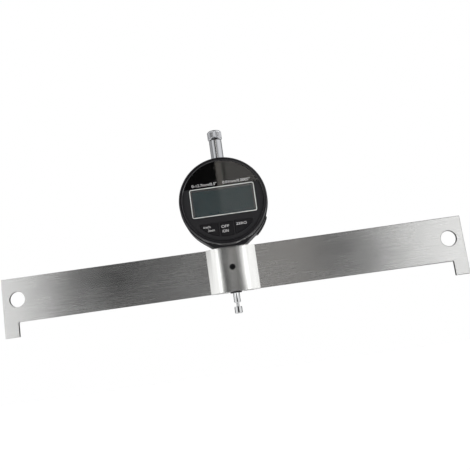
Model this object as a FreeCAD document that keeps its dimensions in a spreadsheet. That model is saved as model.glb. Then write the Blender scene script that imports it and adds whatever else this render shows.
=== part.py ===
import FreeCAD, Part
import Sketcher
import os
import re

# Neck relief gauge: a beam with two feet, and in its middle a hub that clamps a digital indicator.
# Millimetres. X runs along the beam, Z up, and the indicator faces -Y. The origin is the middle of
# the contact point's flat face, on the spindle's axis, with the spindle fully out.

# Driving dimensions. Each is a cell of the sheet, under its own name.
SIZES = {
    # beam
    "beam_length": 311.6, "arm_height": 29.6, "arm_thickness": 2.0,
    "leg_width": 9.5, "leg_drop": 9.8, "leg_corner": 1.0,
    "hang_diameter": 10.4, "hang_inset": 9.9, "hang_rise": 15.2,
    # hub
    "hub_width": 33.0, "hub_depth": 15.0, "hub_edge": 5.4,
    "crown_width": 16.0, "crown_radius": 54.0,
    "slot_depth": 4.0, "slot_gap": 0.05, "slot_floor_gap": 0.2,
    "clamp_rise": 16.1, "clamp_diameter": 4.0, "clamp_inset": 0.3, "clamp_socket": 2.0,
    "clamp_socket_depth": 1.6, "thread_gap": 0.05,
    "bush_diameter": 7.7, "bush_bore": 5.8, "bush_show": 0.8, "bush_seat": 8.0, "bush_flare": 0.13,
    # spindle and what is on it
    "tip_reach": 4.7, "tip_diameter": 5.1, "tip_height": 4.5, "tip_bevel": 0.35,
    "neck_diameter": 2.0, "neck_length": 2.6, "shank_diameter": 2.4, "shank_length": 5.0,
    "spindle_diameter": 4.4, "stub_diameter": 2.5, "stub_length": 5.0,
    "knob_diameter": 9.8, "knob_height": 6.2, "knob_bevel": 0.7, "knob_rest_gap": 0.3,
    "knurl_count": 24, "knurl_depth": 0.35, "knurl_margin": 1.0, "travel": 12.7,
    # stem, sleeve and their bushes
    "stem_diameter": 8.0, "stem_length": 17.5, "stem_bore": 5.2, "stem_gap": 0.02,
    "stem_lip": 1.0, "bearing_diameter": 6.4, "bearing_length": 8.0, "running_gap": 0.03,
    "sleeve_diameter": 8.7, "sleeve_show": 16.4, "sleeve_flange": 11.0, "flange_thickness": 1.2,
    "flange_drop": 2.0, "sleeve_bevel": 0.4,
    # case, in the indicator's own frame: out from its axis, and forward of the spindle's axis
    "case_radius": 29.5, "case_back": 8.0, "case_front": 9.3, "case_wall": 4.0,
    "chin_show": 0.1, "chin_width": 20.0, "spigot_gap": 0.3, "spigot_front": 14.8,
    "bezel_setback": 0.5, "bezel_front": 18.0, "bezel_gap": 0.2, "bezel_wall": 1.4,
    "bezel_face": 2.4, "bezel_lip": 1.6, "bezel_bevel": 0.9,
    "cover_setback": 0.3, "cover_thickness": 1.8, "cover_bevel": 0.4,
    "cover_screw_inset": 2.1, "cover_screw_diameter": 2.0, "cover_screw_length": 9.0,
    "screw_head_diameter": 3.2, "screw_head_height": 1.0, "cover_screw_count": 3,
    "cover_screw_start": 50.0,
    "lug_thickness": 5.0, "lug_radius": 6.0, "lug_bore": 6.5, "lug_reach": 8.0,
    # face
    "panel_gap": 0.2, "panel_front": 17.2, "panel_back": 15.0,
    "panel_flange": 1.2, "groove_inset": 0.3, "groove_width": 0.4, "groove_depth": 0.25,
    "pane_rim": 0.3, "pane_thickness": 1.2, "pane_gap": 0.08,
    "frame_width": 42.6, "frame_top": 9.6, "frame_bottom": 9.7, "frame_line": 0.7,
    "frame_corner": 1.5, "frame_proud": 0.25, "display_margin": 1.0, "display_thickness": 2.2,
    "key_top": 14.4, "key_margin": 2.8, "middle_key_half": 4.1, "side_key_inner": 5.4,
    "side_key_height": 1.65, "key_gap": 0.2, "key_lap": 0.25, "key_lap_thickness": 0.8,
    "key_proud": 0.3, "key_travel": 0.4, "key_bevel": 0.3, "key_post_diameter": 3.6,
    "key_post_length": 1.1, "dome_gap": 0.2,
    # inside the case
    "board_gap": 0.3, "board_thickness": 1.6, "board_back": 8.0,
    "strip_length": 38.0, "strip_width": 2.0, "strip_rise": 7.9,
    "chip_side": 8.0, "chip_height": 1.5,
    "mat_thickness": 0.8, "mat_margin": 0.8, "mat_inset": 0.6, "dome_diameter": 5.2,
    "cell_diameter": 11.6, "cell_thickness": 5.4, "cell_gap": 0.15, "cell_inset": 8.3,
    "drawer_angle": 36.0, "drawer_width": 12.8, "drawer_floor": 0.6, "drawer_end": 0.5,
    "drawer_gap": 0.2, "drawer_proud": 0.8, "drawer_head": 14.6,
    "drawer_seam": 0.1, "leaf_width": 3.0, "leaf_thickness": 0.3,
    "leaf_foot": 2.5, "leaf_gap": 0.3, "leaf_spread": 4.6,
    "carriage_width": 12.0, "carriage_height": 12.0, "carriage_front": 5.9, "carriage_back": 4.0,
    "carriage_rise": 12.0, "clamp_pin_diameter": 2.0,
    "scale_width": 9.0, "head_length": 15.3, "scale_gap": 0.3, "scale_drop": 6.0,
    "guide_diameter": 2.0, "guide_offset": 9.0, "guide_seat": 1.5, "guide_gap": 0.05,
    "guide_ear": 1.6, "spring_diameter": 6.6, "wire_diameter": 0.6, "spring_turns": 6.0,
    "spring_seat_gap": 0.05,
}

# Places and sizes that follow from the driving ones.
PLACES = {
    "arm_bottom": "tip_reach + leg_drop",
    "arm_top": "arm_bottom + arm_height",
    "beam_half": "beam_length / 2",
    "hub_half": "hub_width / 2",
    "arm_inner": "hub_half - slot_depth + slot_floor_gap",
    "crown_half": "crown_width / 2",
    "crown_y": "hub_depth / 2 - crown_radius + sqrt(crown_radius ^ 2 - crown_half ^ 2)",
    "flank_run": "hub_half - crown_half",
    "flank_fall": "crown_y - hub_edge / 2",
    "flank_lean": "flank_fall * sqrt(crown_radius ^ 2 - crown_half ^ 2) - flank_run * crown_half",
    "flank_radius": "(flank_run ^ 2 + flank_fall ^ 2) * crown_radius / (2 * flank_lean)",
    "bore_radius": "stem_diameter / 2 + stem_gap",
    "chin_drop": "case_radius + chin_show",
    "dial_height": "arm_top + chin_drop",
    "cavity_radius": "case_radius - case_wall",
    "cover_radius": "case_radius - cover_setback",
    "cover_screw_circle": "case_radius - cover_screw_inset",
    "bezel_radius": "case_radius - bezel_setback",
    "bezel_bore": "bezel_radius - bezel_wall",
    "bezel_lip_bore": "bezel_radius - bezel_face",
    "spigot_radius": "bezel_bore - spigot_gap",
    "panel_radius": "bezel_lip_bore - panel_gap",
    "panel_flange_radius": "bezel_bore - panel_gap",
    "groove_radius": "panel_radius - groove_inset",
    "pane_radius": "groove_radius - groove_width - pane_rim",
    "key_arc": "panel_radius - key_margin",
    "side_key_outer": "sqrt(key_arc ^ 2 - (key_top + side_key_height) ^ 2)",
    "side_key_centre": "(side_key_inner + side_key_outer) / 2",
    "key_centre_drop": "(key_top + sqrt(key_arc ^ 2 - side_key_centre ^ 2)) / 2",
    "board_radius": "cavity_radius - board_gap",
    "mat_bottom_radius": "board_radius - mat_inset",
    "cell_distance": "case_radius - cell_inset",
    "stem_bottom": "arm_top - stem_length",
    "spindle_bottom": "tip_height + neck_length",
    "case_top": "dial_height + case_radius",
    "cavity_top": "dial_height + cavity_radius",
    "flange_top": "cavity_top - flange_drop + flange_thickness",
    "flange_bottom": "cavity_top - flange_drop",
    "sleeve_top": "case_top + sleeve_show",
    "knob_bottom": "sleeve_top + knob_rest_gap",
    "chin_slant": "sqrt((chin_width / 2) ^ 2 + chin_drop ^ 2)",
    "chin_turn": "atan(chin_width / 2 / chin_drop) + acos(case_radius / chin_slant)",
    "drawer_back": "case_back - 2 * drawer_gap",
    "drawer_front": "drawer_back - drawer_floor - cell_thickness",
    "drawer_inner": "cell_distance - cell_diameter / 2 - cell_gap - drawer_end",
    "board_front": "board_back + board_thickness",
    "display_back": "panel_back - display_thickness",
    "key_back": "panel_back - key_gap - key_lap_thickness",
    "post_back": "key_back - key_post_length",
    "carriage_bottom": "dial_height - cavity_radius + carriage_rise",
    "carriage_top": "carriage_bottom + carriage_height",
    "scale_front": "board_back - scale_gap",
    "scale_height": "travel + head_length",
    "guide_chord": "sqrt(cavity_radius ^ 2 - guide_offset ^ 2)",
    "wire_radius": "wire_diameter / 2",
    "spring_rise": "flange_bottom - carriage_top - wire_diameter - 2 * spring_seat_gap",
}

UPRIGHT = FreeCAD.Rotation()
# The indicator's own frame: X to the right, Y up its face, Z forward, out of the face.
FACING = FreeCAD.Rotation(FreeCAD.Vector(1, 0, 0), 90)
WHOLE_TURN = 360

doc = FreeCAD.newDocument("neck_relief_gauge")
sheet = doc.addObject("Spreadsheet::Sheet", "Sizes")
for row, (name, size) in enumerate(SIZES.items(), start=1):
    sheet.set(f"A{row}", name)
    sheet.set(f"B{row}", str(size))
    sheet.setAlias(f"B{row}", name)
doc.recompute()


def cells(expression):
    """Write out an expression of size names as one that refers to the sheet's cells."""
    def swap(match):
        word = match.group(0)
        if word in PLACES:
            return f"({cells(PLACES[word])})"
        return f"Sizes.{word}" if word in SIZES else word
    return re.sub(r"[a-z]+(?:_[a-z]+)*", swap, expression)


def number(expression):
    """The value of an expression of size names."""
    value = sheet.evalExpression(cells(expression))
    return float(getattr(value, "Value", value))


def bind(thing, prop, expression):
    """Tie a property to the sheet."""
    thing.setExpression(prop, cells(expression))


def put(thing, across="0", along="0", up="0", turn=UPRIGHT):
    """Place a sub-part, with its place tied to the sheet."""
    thing.Placement = FreeCAD.Placement(FreeCAD.Vector(), turn)
    bind(thing, "Placement.Base.x", across)
    bind(thing, "Placement.Base.y", along)
    bind(thing, "Placement.Base.z", up)


def new_body(label):
    body = doc.addObject("PartDesign::Body", label)
    body.Label = label
    return body


def new_sketch(body, name, role="XY_Plane", lift="0"):
    """A sketch on one of the body's own planes, lifted along the plane's normal."""
    plane = next(item for item in body.Origin.OriginFeatures if item.Role == role)
    sketch = body.newObject("Sketcher::SketchObject", name)
    sketch.AttachmentSupport = [(plane, "")]
    sketch.MapMode = "FlatFace"
    bind(sketch, "AttachmentOffset.Base.z", lift)
    return sketch


def hold(sketch, kind, where, expression):
    """A distance or radius constraint tied to the sheet. A distance of nothing is an axis."""
    value = number(expression)
    if kind != "Radius" and abs(value) < 1e-9:
        axis = -2 if kind == "DistanceX" else -1
        sketch.addConstraint(Sketcher.Constraint("PointOnObject", *where, axis))
        return
    ends = where if kind == "Radius" else (-1, 1, *where)
    index = sketch.addConstraint(Sketcher.Constraint(kind, *ends, value))
    bind(sketch, f"Constraints[{index}]", expression)


def arc_between(start, end, radius):
    """The short arc of a radius from start to end. A positive one turns to the left."""
    chord = end - start
    middle = (start + end) / 2
    half = chord.Length / 2
    depth = abs(radius) - (radius * radius - half * half) ** 0.5
    outward = FreeCAD.Vector(chord.y, -chord.x, 0).normalize()
    return Part.Arc(start, middle + outward * (depth if radius > 0 else -depth), end)


def outline(sketch, corners):
    """A closed outline. A corner with a third value starts an arc of that radius."""
    points = [FreeCAD.Vector(number(corner[0]), number(corner[1]), 0) for corner in corners]
    edges = []
    for index, corner in enumerate(corners):
        start = points[index]
        end = points[(index + 1) % len(points)]
        radius = number(corner[2]) if len(corner) == 3 else 0
        shape = arc_between(start, end, radius) if radius else Part.LineSegment(start, end)
        edge = sketch.addGeometry(shape, False)
        edges.append((edge, 2, 1) if radius < 0 else (edge, 1, 2))
        if radius:
            hold(sketch, "Radius", (edge,), f"abs({corner[2]})")
    for index, corner in enumerate(corners):
        edge, first, last = edges[index]
        follower, joint, _ = edges[(index + 1) % len(edges)]
        sketch.addConstraint(Sketcher.Constraint("Coincident", edge, last, follower, joint))
        hold(sketch, "DistanceX", (edge, first), corner[0])
        hold(sketch, "DistanceY", (edge, first), corner[1])


def circle(sketch, across, up, radius):
    centre = FreeCAD.Vector(number(across), number(up), 0)
    edge = sketch.addGeometry(Part.Circle(centre, FreeCAD.Vector(0, 0, 1), number(radius)), False)
    hold(sketch, "Radius", (edge,), radius)
    hold(sketch, "DistanceX", (edge, 3), across)
    hold(sketch, "DistanceY", (edge, 3), up)


def box_corners(left, bottom, right, top):
    return [(left, bottom), (right, bottom), (right, top), (left, top)]


def pad(body, sketch, length, symmetric=False):
    feature = body.newObject("PartDesign::Pad", f"{sketch.Name}_pad")
    feature.Profile = sketch
    bind(feature, "Length", length)
    if symmetric:
        feature.SideType = "Symmetric"
    return feature


def pocket(body, sketch, length=None, symmetric=False, forward=False):
    """A cut. Without a length it goes right through; forward is along the sketch's normal."""
    feature = body.newObject("PartDesign::Pocket", f"{sketch.Name}_cut")
    feature.Profile = sketch
    if length is None:
        feature.Type = "ThroughAll"
    else:
        bind(feature, "Length", length)
    if symmetric:
        feature.SideType = "Symmetric"
    feature.Reversed = forward
    return feature


def turned(label, profile):
    """A body turned about Z from a half profile of (radius, height) corners."""
    body = new_body(label)
    sketch = new_sketch(body, f"{label}_profile", "XZ_Plane")
    outline(sketch, profile)
    feature = body.newObject("PartDesign::Revolution", f"{label}_turn")
    feature.Profile = sketch
    feature.ReferenceAxis = (sketch, ["V_Axis"])
    feature.Angle = WHOLE_TURN
    return body


def tube_profile(bore, outside, bottom, top):
    return box_corners(bore, bottom, outside, top)


def bevel(body, feature, size, test):
    """Chamfer the edges of a feature that pass a test."""
    doc.recompute()
    names = [f"Edge{n}" for n, edge in enumerate(feature.Shape.Edges, start=1) if test(edge)]
    cut = body.newObject("PartDesign::Chamfer", f"{body.Name}_bevel")
    cut.Base = (feature, names)
    bind(cut, "Size", size)
    return cut


def at_height(edge, height):
    """True where the whole edge lies at a height of its body."""
    box = edge.BoundBox
    return abs(box.ZMin - height) < 1e-4 and abs(box.ZMax - height) < 1e-4


# Beam and hub

def make_arm(label, side):
    """A flat plate with a foot and a hanging hole at its outer end. side is 1 or -1."""
    body = new_body(label)
    sketch = new_sketch(body, f"{label}_outline", "XZ_Plane")
    leg = f"{side} * (beam_half - leg_width)"
    end = f"{side} * beam_half"
    inner = f"{side} * arm_inner"
    outline(sketch, [
        (inner, "arm_bottom"),
        (f"{side} * (beam_half - leg_width - leg_corner)", "arm_bottom", f"{-side} * leg_corner"),
        (leg, "arm_bottom - leg_corner"),
        (leg, "tip_reach"),
        (end, "tip_reach"),
        (end, "arm_top"),
        (inner, "arm_top"),
    ])
    circle(sketch, f"{side} * (beam_half - hang_inset)", "arm_bottom + hang_rise", "hang_diameter / 2")
    pad(body, sketch, "arm_thickness", symmetric=True)
    return body


def make_hub():
    """The middle block, arched front and back, slotted for the arms and bored for the stem."""
    body = new_body("hub")
    plan = new_sketch(body, "hub_plan")
    outline(plan, [
        ("hub_half", "-hub_edge / 2"),
        ("hub_half", "hub_edge / 2", "flank_radius"),
        ("crown_half", "crown_y", "crown_radius"),
        ("-crown_half", "crown_y", "flank_radius"),
        ("-hub_half", "hub_edge / 2"),
        ("-hub_half", "-hub_edge / 2", "flank_radius"),
        ("-crown_half", "-crown_y", "crown_radius"),
        ("crown_half", "-crown_y", "flank_radius"),
    ])
    circle(plan, "0", "0", "bore_radius")
    block = pad(body, plan, "arm_height")
    slots = new_sketch(body, "arm_slots")
    wall = "arm_thickness / 2 + slot_gap"
    outline(slots, box_corners("hub_half - slot_depth", f"-({wall})", "hub_width", wall))
    outline(slots, box_corners("-hub_width", f"-({wall})", "slot_depth - hub_half", wall))
    cut_both(body, block, slots)
    tapped = new_sketch(body, "clamp_hole", "XZ_Plane")
    circle(tapped, "0", "clamp_rise", "clamp_diameter / 2")
    pocket(body, tapped, "hub_depth", forward=True)
    put(body, up="arm_bottom")
    return body


def cut_both(body, block, sketch):
    """A cut through the whole of a block that stands on the sketch's plane."""
    feature = pocket(body, sketch, forward=True)
    doc.recompute()
    assert feature.Shape.Volume < block.Shape.Volume, f"{sketch.Name} cuts nothing"


def make_clamp_screw():
    """A socket grub screw from the hub's front to the stem. Its own Z points out of the hub."""
    body = new_body("clamp_screw")
    shank = new_sketch(body, "clamp_shank")
    circle(shank, "0", "0", "clamp_diameter / 2 - thread_gap")
    length = "hub_depth / 2 - clamp_inset - stem_diameter / 2"
    rod = pad(body, shank, length)
    outer = number(length)
    cut_edge = bevel(body, rod, "clamp_inset", lambda edge: at_height(edge, outer))
    socket = new_sketch(body, "clamp_socket", lift=length)
    across = [f"clamp_socket / sqrt(3) * cos({corner * 60})" for corner in range(6)]
    upward = [f"clamp_socket / sqrt(3) * sin({corner * 60})" for corner in range(6)]
    outline(socket, list(zip(across, upward)))
    pocket(body, socket, "clamp_socket_depth")
    put(body, along="-stem_diameter / 2", up="arm_bottom + clamp_rise", turn=FACING)
    return cut_edge


def make_hub_bush():
    """The black collar under the hub. Its bore is wide enough for the contact point's head."""
    body = turned("hub_bush", [
        ("bush_bore / 2", "-bush_show"),
        ("bush_diameter / 2", "-bush_show"),
        ("bush_diameter / 2", "0"),
        ("bush_diameter / 2 + bush_flare", "0"),
        ("bush_diameter / 2 + bush_flare", "bush_seat"),
        ("bush_bore / 2", "bush_seat"),
    ])
    put(body, up="arm_bottom")
    return body


# Spindle and what moves with it

def make_spindle():
    """The measuring rod, with a tapped hole below and a stub for the knob above."""
    body = turned("spindle", [
        ("shank_diameter / 2 + thread_gap", "0"),
        ("spindle_diameter / 2", "0"),
        ("spindle_diameter / 2", "knob_bottom - spindle_bottom"),
        ("stub_diameter / 2", "knob_bottom - spindle_bottom"),
        ("stub_diameter / 2", "knob_bottom - spindle_bottom + stub_length"),
        ("0", "knob_bottom - spindle_bottom + stub_length"),
        ("0", "shank_length + thread_gap"),
        ("shank_diameter / 2 + thread_gap", "shank_length + thread_gap"),
    ])
    put(body, up="spindle_bottom")
    return body


def make_contact_point():
    """The screwed-in tip: a wide flat head on a thin neck."""
    return turned("contact_point", [
        ("0", "0"),
        ("tip_diameter / 2 - tip_bevel", "0"),
        ("tip_diameter / 2", "tip_bevel"),
        ("tip_diameter / 2", "tip_height - tip_bevel / 2"),
        ("tip_diameter / 2 - tip_bevel / 2", "tip_height"),
        ("neck_diameter / 2", "tip_height"),
        ("neck_diameter / 2", "spindle_bottom"),
        ("shank_diameter / 2", "spindle_bottom"),
        ("shank_diameter / 2", "spindle_bottom + shank_length"),
        ("0", "spindle_bottom + shank_length"),
    ])


def make_lifting_knob():
    """The cap on the spindle's top, with straight knurling round its middle band."""
    body = turned("lifting_knob", [
        ("stub_diameter / 2 + thread_gap", "0"),
        ("knob_diameter / 2 - knob_bevel", "0"),
        ("knob_diameter / 2", "knob_bevel"),
        ("knob_diameter / 2", "knob_height - knob_bevel"),
        ("knob_diameter / 2 - knob_bevel", "knob_height"),
        ("0", "knob_height"),
        ("0", "stub_length + thread_gap"),
        ("stub_diameter / 2 + thread_gap", "stub_length + thread_gap"),
    ])
    tooth = new_sketch(body, "knurl_tooth", lift="knurl_margin")
    half = "(knob_diameter / 2 + knurl_depth) * sin(180 / knurl_count)"
    outline(tooth, [
        ("knob_diameter / 2 - knurl_depth", "0"),
        ("knob_diameter / 2 + knurl_depth", f"-{half}"),
        ("knob_diameter / 2 + knurl_depth", half),
    ])
    cut = pocket(body, tooth, "knob_height - 2 * knurl_margin", forward=True)
    ring = body.newObject("PartDesign::PolarPattern", "knurling")
    ring.Originals = [cut]
    ring.Axis = (tooth, ["N_Axis"])
    ring.Angle = WHOLE_TURN
    bind(ring, "Occurrences", "knurl_count")
    body.Tip = ring
    put(body, up="knob_bottom")
    return body


def make_scale_carriage():
    """The block clamped on the spindle. An ear at its left runs on the guide pin."""
    body = new_body("scale_carriage")
    plan = new_sketch(body, "carriage_plan")
    ear = "guide_diameter / 2 + guide_ear"
    outline(plan, [
        ("-carriage_width / 2", "-carriage_front"),
        ("carriage_width / 2", "-carriage_front"),
        ("carriage_width / 2", "carriage_back"),
        ("-carriage_width / 2", "carriage_back"),
        ("-carriage_width / 2", ear),
        ("-guide_offset", ear, ear),
        (f"-guide_offset - ({ear})", "0", ear),
        ("-guide_offset", f"-({ear})"),
        ("-carriage_width / 2", f"-({ear})"),
    ])
    circle(plan, "0", "0", "spindle_diameter / 2")
    circle(plan, "-guide_offset", "0", "guide_diameter / 2 + guide_gap")
    pad(body, plan, "carriage_height")
    tapped = new_sketch(body, "carriage_tapping", "XZ_Plane")
    circle(tapped, "0", "carriage_height / 2", "clamp_pin_diameter / 2 + thread_gap")
    pocket(body, tapped, "carriage_back + thread_gap")
    put(body, up="carriage_bottom")
    return body


def make_carriage_screw():
    """The grub screw that clamps the carriage on the spindle from behind."""
    body = turned("carriage_screw", tube_profile(
        "0", "clamp_pin_diameter / 2", "0", "carriage_back - spindle_diameter / 2"))
    turn = FreeCAD.Rotation(FreeCAD.Vector(1, 0, 0), -90)
    put(body, along="spindle_diameter / 2", up="carriage_bottom + carriage_height / 2", turn=turn)
    return body


def make_scale_strip():
    """The capacitive scale on the carriage's front, behind the board."""
    body = new_body("scale_strip")
    face = new_sketch(body, "scale_face", lift="carriage_front")
    outline(face, box_corners("-scale_width / 2", "0", "scale_width / 2", "scale_height"))
    pad(body, face, "scale_front - carriage_front")
    put(body, up="carriage_bottom - scale_drop", turn=FACING)
    return body


def make_return_spring():
    """The compression spring between the carriage and the sleeve's flange."""
    helix = doc.addObject("Part::Helix", "spring_path")
    bind(helix, "Radius", "spring_diameter / 2 - wire_radius")
    bind(helix, "Height", "spring_rise")
    bind(helix, "Pitch", "spring_rise / spring_turns")
    wire = doc.addObject("Part::RegularPolygon", "spring_wire")
    wire.Polygon = 4
    bind(wire, "Circumradius", "wire_radius")
    wire.Placement = FreeCAD.Placement(FreeCAD.Vector(), FreeCAD.Rotation(FreeCAD.Vector(1, 0, 0), 90))
    bind(wire, "Placement.Base.x", "spring_diameter / 2 - wire_radius")
    spring = doc.addObject("Part::Sweep", "return_spring")
    spring.Sections = [wire]
    spring.Spine = (helix, ["Edge1"])
    spring.Solid = True
    spring.Frenet = True
    put(spring, up="carriage_top + wire_radius + spring_seat_gap")
    return spring


# Stem, sleeve and bearings

def make_stem():
    """The clamping stem: through the chin, down into the hub, with a seat for its bush."""
    body = turned("stem", [
        ("bearing_diameter / 2", "0"),
        ("stem_diameter / 2", "0"),
        ("stem_diameter / 2", "stem_length + chin_drop - cavity_radius + stem_lip"),
        ("stem_bore / 2", "stem_length + chin_drop - cavity_radius + stem_lip"),
        ("stem_bore / 2", "bearing_length"),
        ("bearing_diameter / 2", "bearing_length"),
    ])
    put(body, up="stem_bottom")
    return body


def make_bearing(label, bottom):
    """A bronze bush that the spindle slides in."""
    body = turned(label, tube_profile(
        "spindle_diameter / 2 + running_gap", "bearing_diameter / 2", "0", "bearing_length"))
    put(body, up=bottom)
    return body


def make_upper_sleeve():
    """The bright tube over the case, with a flange inside that the spring pushes on."""
    body = turned("upper_sleeve", [
        ("stem_bore / 2", "flange_bottom"),
        ("sleeve_flange / 2", "flange_bottom"),
        ("sleeve_flange / 2", "flange_top"),
        ("sleeve_diameter / 2", "flange_top"),
        ("sleeve_diameter / 2", "sleeve_top - sleeve_bevel"),
        ("sleeve_diameter / 2 - sleeve_bevel", "sleeve_top"),
        ("bearing_diameter / 2", "sleeve_top"),
        ("bearing_diameter / 2", "sleeve_top - bearing_length"),
        ("stem_bore / 2", "sleeve_top - bearing_length"),
    ])
    return body


def make_guide_pin():
    """The pin that keeps the carriage from turning, seated in the case at both ends."""
    pin = doc.addObject("Part::Cylinder", "guide_pin")
    bind(pin, "Radius", "guide_diameter / 2")
    bind(pin, "Height", "2 * (guide_chord + guide_seat - guide_gap)")
    put(pin, across="-guide_offset", up="dial_height - guide_chord - guide_seat + guide_gap")
    return pin


# Case

def case_outline(sketch):
    """A round case with a flat chin: the chin's sides run off the circle as tangents."""
    side = "case_radius * sin(chin_turn)"
    low = "-case_radius * cos(chin_turn)"
    outline(sketch, [
        (side, low, "case_radius"),
        ("0", "case_radius", "case_radius"),
        (f"-{side}", low),
        ("-chin_width / 2", "-chin_drop"),
        ("chin_width / 2", "-chin_drop"),
    ])


def make_rear_case():
    """The moulded case: a ring wall with a chin, a spigot for the bezel and its bores."""
    body = new_body("rear_case")
    shell = new_sketch(body, "case_shell", lift="-case_back")
    case_outline(shell)
    pad(body, shell, "case_back + case_front")
    spigot = new_sketch(body, "case_spigot", lift="case_front")
    circle(spigot, "0", "0", "spigot_radius")
    pad(body, spigot, "spigot_front - case_front")
    cavity = new_sketch(body, "case_cavity", lift="-case_back")
    circle(cavity, "0", "0", "cavity_radius")
    pocket(body, cavity, forward=True)
    stem_hole = new_sketch(body, "stem_hole", "XZ_Plane")
    circle(stem_hole, "0", "0", "bore_radius")
    pocket(body, stem_hole, "2 * case_radius", forward=True)
    sleeve_hole = new_sketch(body, "sleeve_hole", "XZ_Plane")
    circle(sleeve_hole, "0", "0", "sleeve_diameter / 2 + stem_gap")
    pocket(body, sleeve_hole, "2 * case_radius")
    pin_holes = new_sketch(body, "pin_holes", "XZ_Plane")
    circle(pin_holes, "-guide_offset", "0", "guide_diameter / 2 + stem_gap")
    pocket(body, pin_holes, "2 * (guide_chord + guide_seat)", symmetric=True)
    screw_holes = new_sketch(body, "cover_tappings", lift="-case_back")
    screw_circles(screw_holes, "cover_screw_diameter / 2 + stem_gap")
    pocket(body, screw_holes, "cover_screw_length", forward=True)
    slot = new_sketch(body, "drawer_slot", lift="-case_back")
    outline(slot, drawer_box("drawer_width / 2 + drawer_gap", "cavity_radius / 2", "case_radius * 1.2"))
    pocket(body, slot, "case_back - drawer_front + drawer_gap", forward=True)
    put(body, up="dial_height", turn=FACING)
    return body


def screw_circles(sketch, radius):
    """Circles for the cover's screws, evenly round their pitch circle."""
    for turn in range(int(SIZES["cover_screw_count"])):
        angle = f"(cover_screw_start + {turn} * 360 / cover_screw_count)"
        circle(sketch, f"cover_screw_circle * cos{angle}", f"cover_screw_circle * sin{angle}", radius)


def drawer_box(half, near, far):
    """A rectangle about the drawer's line, which points down to the right of the face."""
    def corner(out, side):
        return (f"({out}) * cos(drawer_angle) + ({side}) * sin(drawer_angle)",
                f"({side}) * cos(drawer_angle) - ({out}) * sin(drawer_angle)")
    return [corner(near, f"-({half})"), corner(far, f"-({half})"), corner(far, half), corner(near, half)]


def make_back_cover():
    """The rear plate with the lug that such an indicator carries, and its screw holes."""
    body = new_body("back_cover")
    plate = new_sketch(body, "cover_plate", lift="-case_back - cover_thickness")
    circle(plate, "0", "0", "cover_radius")
    disc = pad(body, plate, "cover_thickness")
    back = -number("case_back + cover_thickness")
    bevel(body, disc, "cover_bevel", lambda edge: at_height(edge, back))
    ear = new_sketch(body, "lug_ear", "YZ_Plane")
    root = "-case_back - cover_thickness / 2"
    eye = "-case_back - cover_thickness - lug_reach"
    outline(ear, [
        ("-lug_radius", root),
        ("-lug_radius", eye, "lug_radius"),
        ("0", f"{eye} - lug_radius", "lug_radius"),
        ("lug_radius", eye),
        ("lug_radius", root),
    ])
    circle(ear, "0", eye, "lug_bore / 2")
    pad(body, ear, "lug_thickness", symmetric=True)
    holes = new_sketch(body, "cover_holes", lift="-case_back")
    screw_circles(holes, "cover_screw_diameter / 2 + 2 * thread_gap")
    pocket(body, holes)
    put(body, up="dial_height", turn=FACING)
    return body


def make_back_screws():
    """The cover's screws, as separate solids of one sub-part."""
    body = turned("back_screw", [
        ("0", "-cover_screw_length + cover_thickness"),
        ("cover_screw_diameter / 2", "-cover_screw_length + cover_thickness"),
        ("cover_screw_diameter / 2", "0"),
        ("screw_head_diameter / 2", "0"),
        ("screw_head_diameter / 2", "screw_head_height"),
        ("0", "screw_head_height"),
    ])
    doc.recompute()
    behind = FreeCAD.Rotation(FreeCAD.Vector(1, 0, 0), -90)
    seat = number("case_back + cover_thickness")
    copies = []
    for turn in range(int(SIZES["cover_screw_count"])):
        angle = f"(cover_screw_start + {turn} * 360 / cover_screw_count)"
        across = number(f"cover_screw_circle * cos{angle}")
        height = number(f"dial_height + cover_screw_circle * sin{angle}")
        copy = body.Shape.copy()
        copy.Placement = FreeCAD.Placement(FreeCAD.Vector(across, seat, height), behind)
        copies.append(copy)
    group = doc.addObject("Part::Feature", "back_screws")
    group.Shape = Part.makeCompound(copies)
    group.Placement = FreeCAD.Placement()
    return group


def make_bezel_ring():
    """The front ring: a cup over the case's spigot, with a lip that traps the face panel."""
    body = turned("bezel_ring", [
        ("bezel_bore", "case_front + bezel_gap"),
        ("bezel_radius", "case_front + bezel_gap"),
        ("bezel_radius", "bezel_front - bezel_bevel"),
        ("bezel_radius - bezel_bevel", "bezel_front"),
        ("bezel_lip_bore + bezel_bevel / 2", "bezel_front"),
        ("bezel_lip_bore", "bezel_front - bezel_bevel / 2"),
        ("bezel_lip_bore", "bezel_front - bezel_lip"),
        ("bezel_bore", "bezel_front - bezel_lip"),
    ])
    put(body, up="dial_height", turn=FACING)
    return body


# Face

def frame_corners(grow):
    """The display frame's outer rectangle, with round corners, grown by an amount."""
    half = f"(frame_width / 2 + {grow})"
    top = f"(frame_top + {grow})"
    low = f"(frame_bottom + {grow})"
    bend = f"(frame_corner + {grow})"
    return [
        (f"-{half} + {bend}", f"-{low}"),
        (f"{half} - {bend}", f"-{low}", bend),
        (half, f"-{low} + {bend}"),
        (half, f"{top} - {bend}", bend),
        (f"{half} - {bend}", top),
        (f"-{half} + {bend}", top, bend),
        (f"-{half}", f"{top} - {bend}"),
        (f"-{half}", f"-{low} + {bend}", bend),
    ]


def pane_corners(grow):
    """The clear pane: the display's frame below, and the round top of the face above it."""
    half = f"(frame_width / 2 + {grow})"
    shelf = f"(frame_top + pane_gap * 4 - {grow})"
    low = f"-(frame_bottom + {grow})"
    rim = f"(pane_radius + {grow})"
    reach = f"sqrt({rim} ^ 2 - {shelf} ^ 2)"
    return [
        (f"-{half}", low),
        (half, low),
        (half, shelf),
        (reach, shelf, rim),
        ("0", rim, rim),
        (f"-{reach}", shelf),
        (f"-{half}", shelf),
    ]


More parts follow.
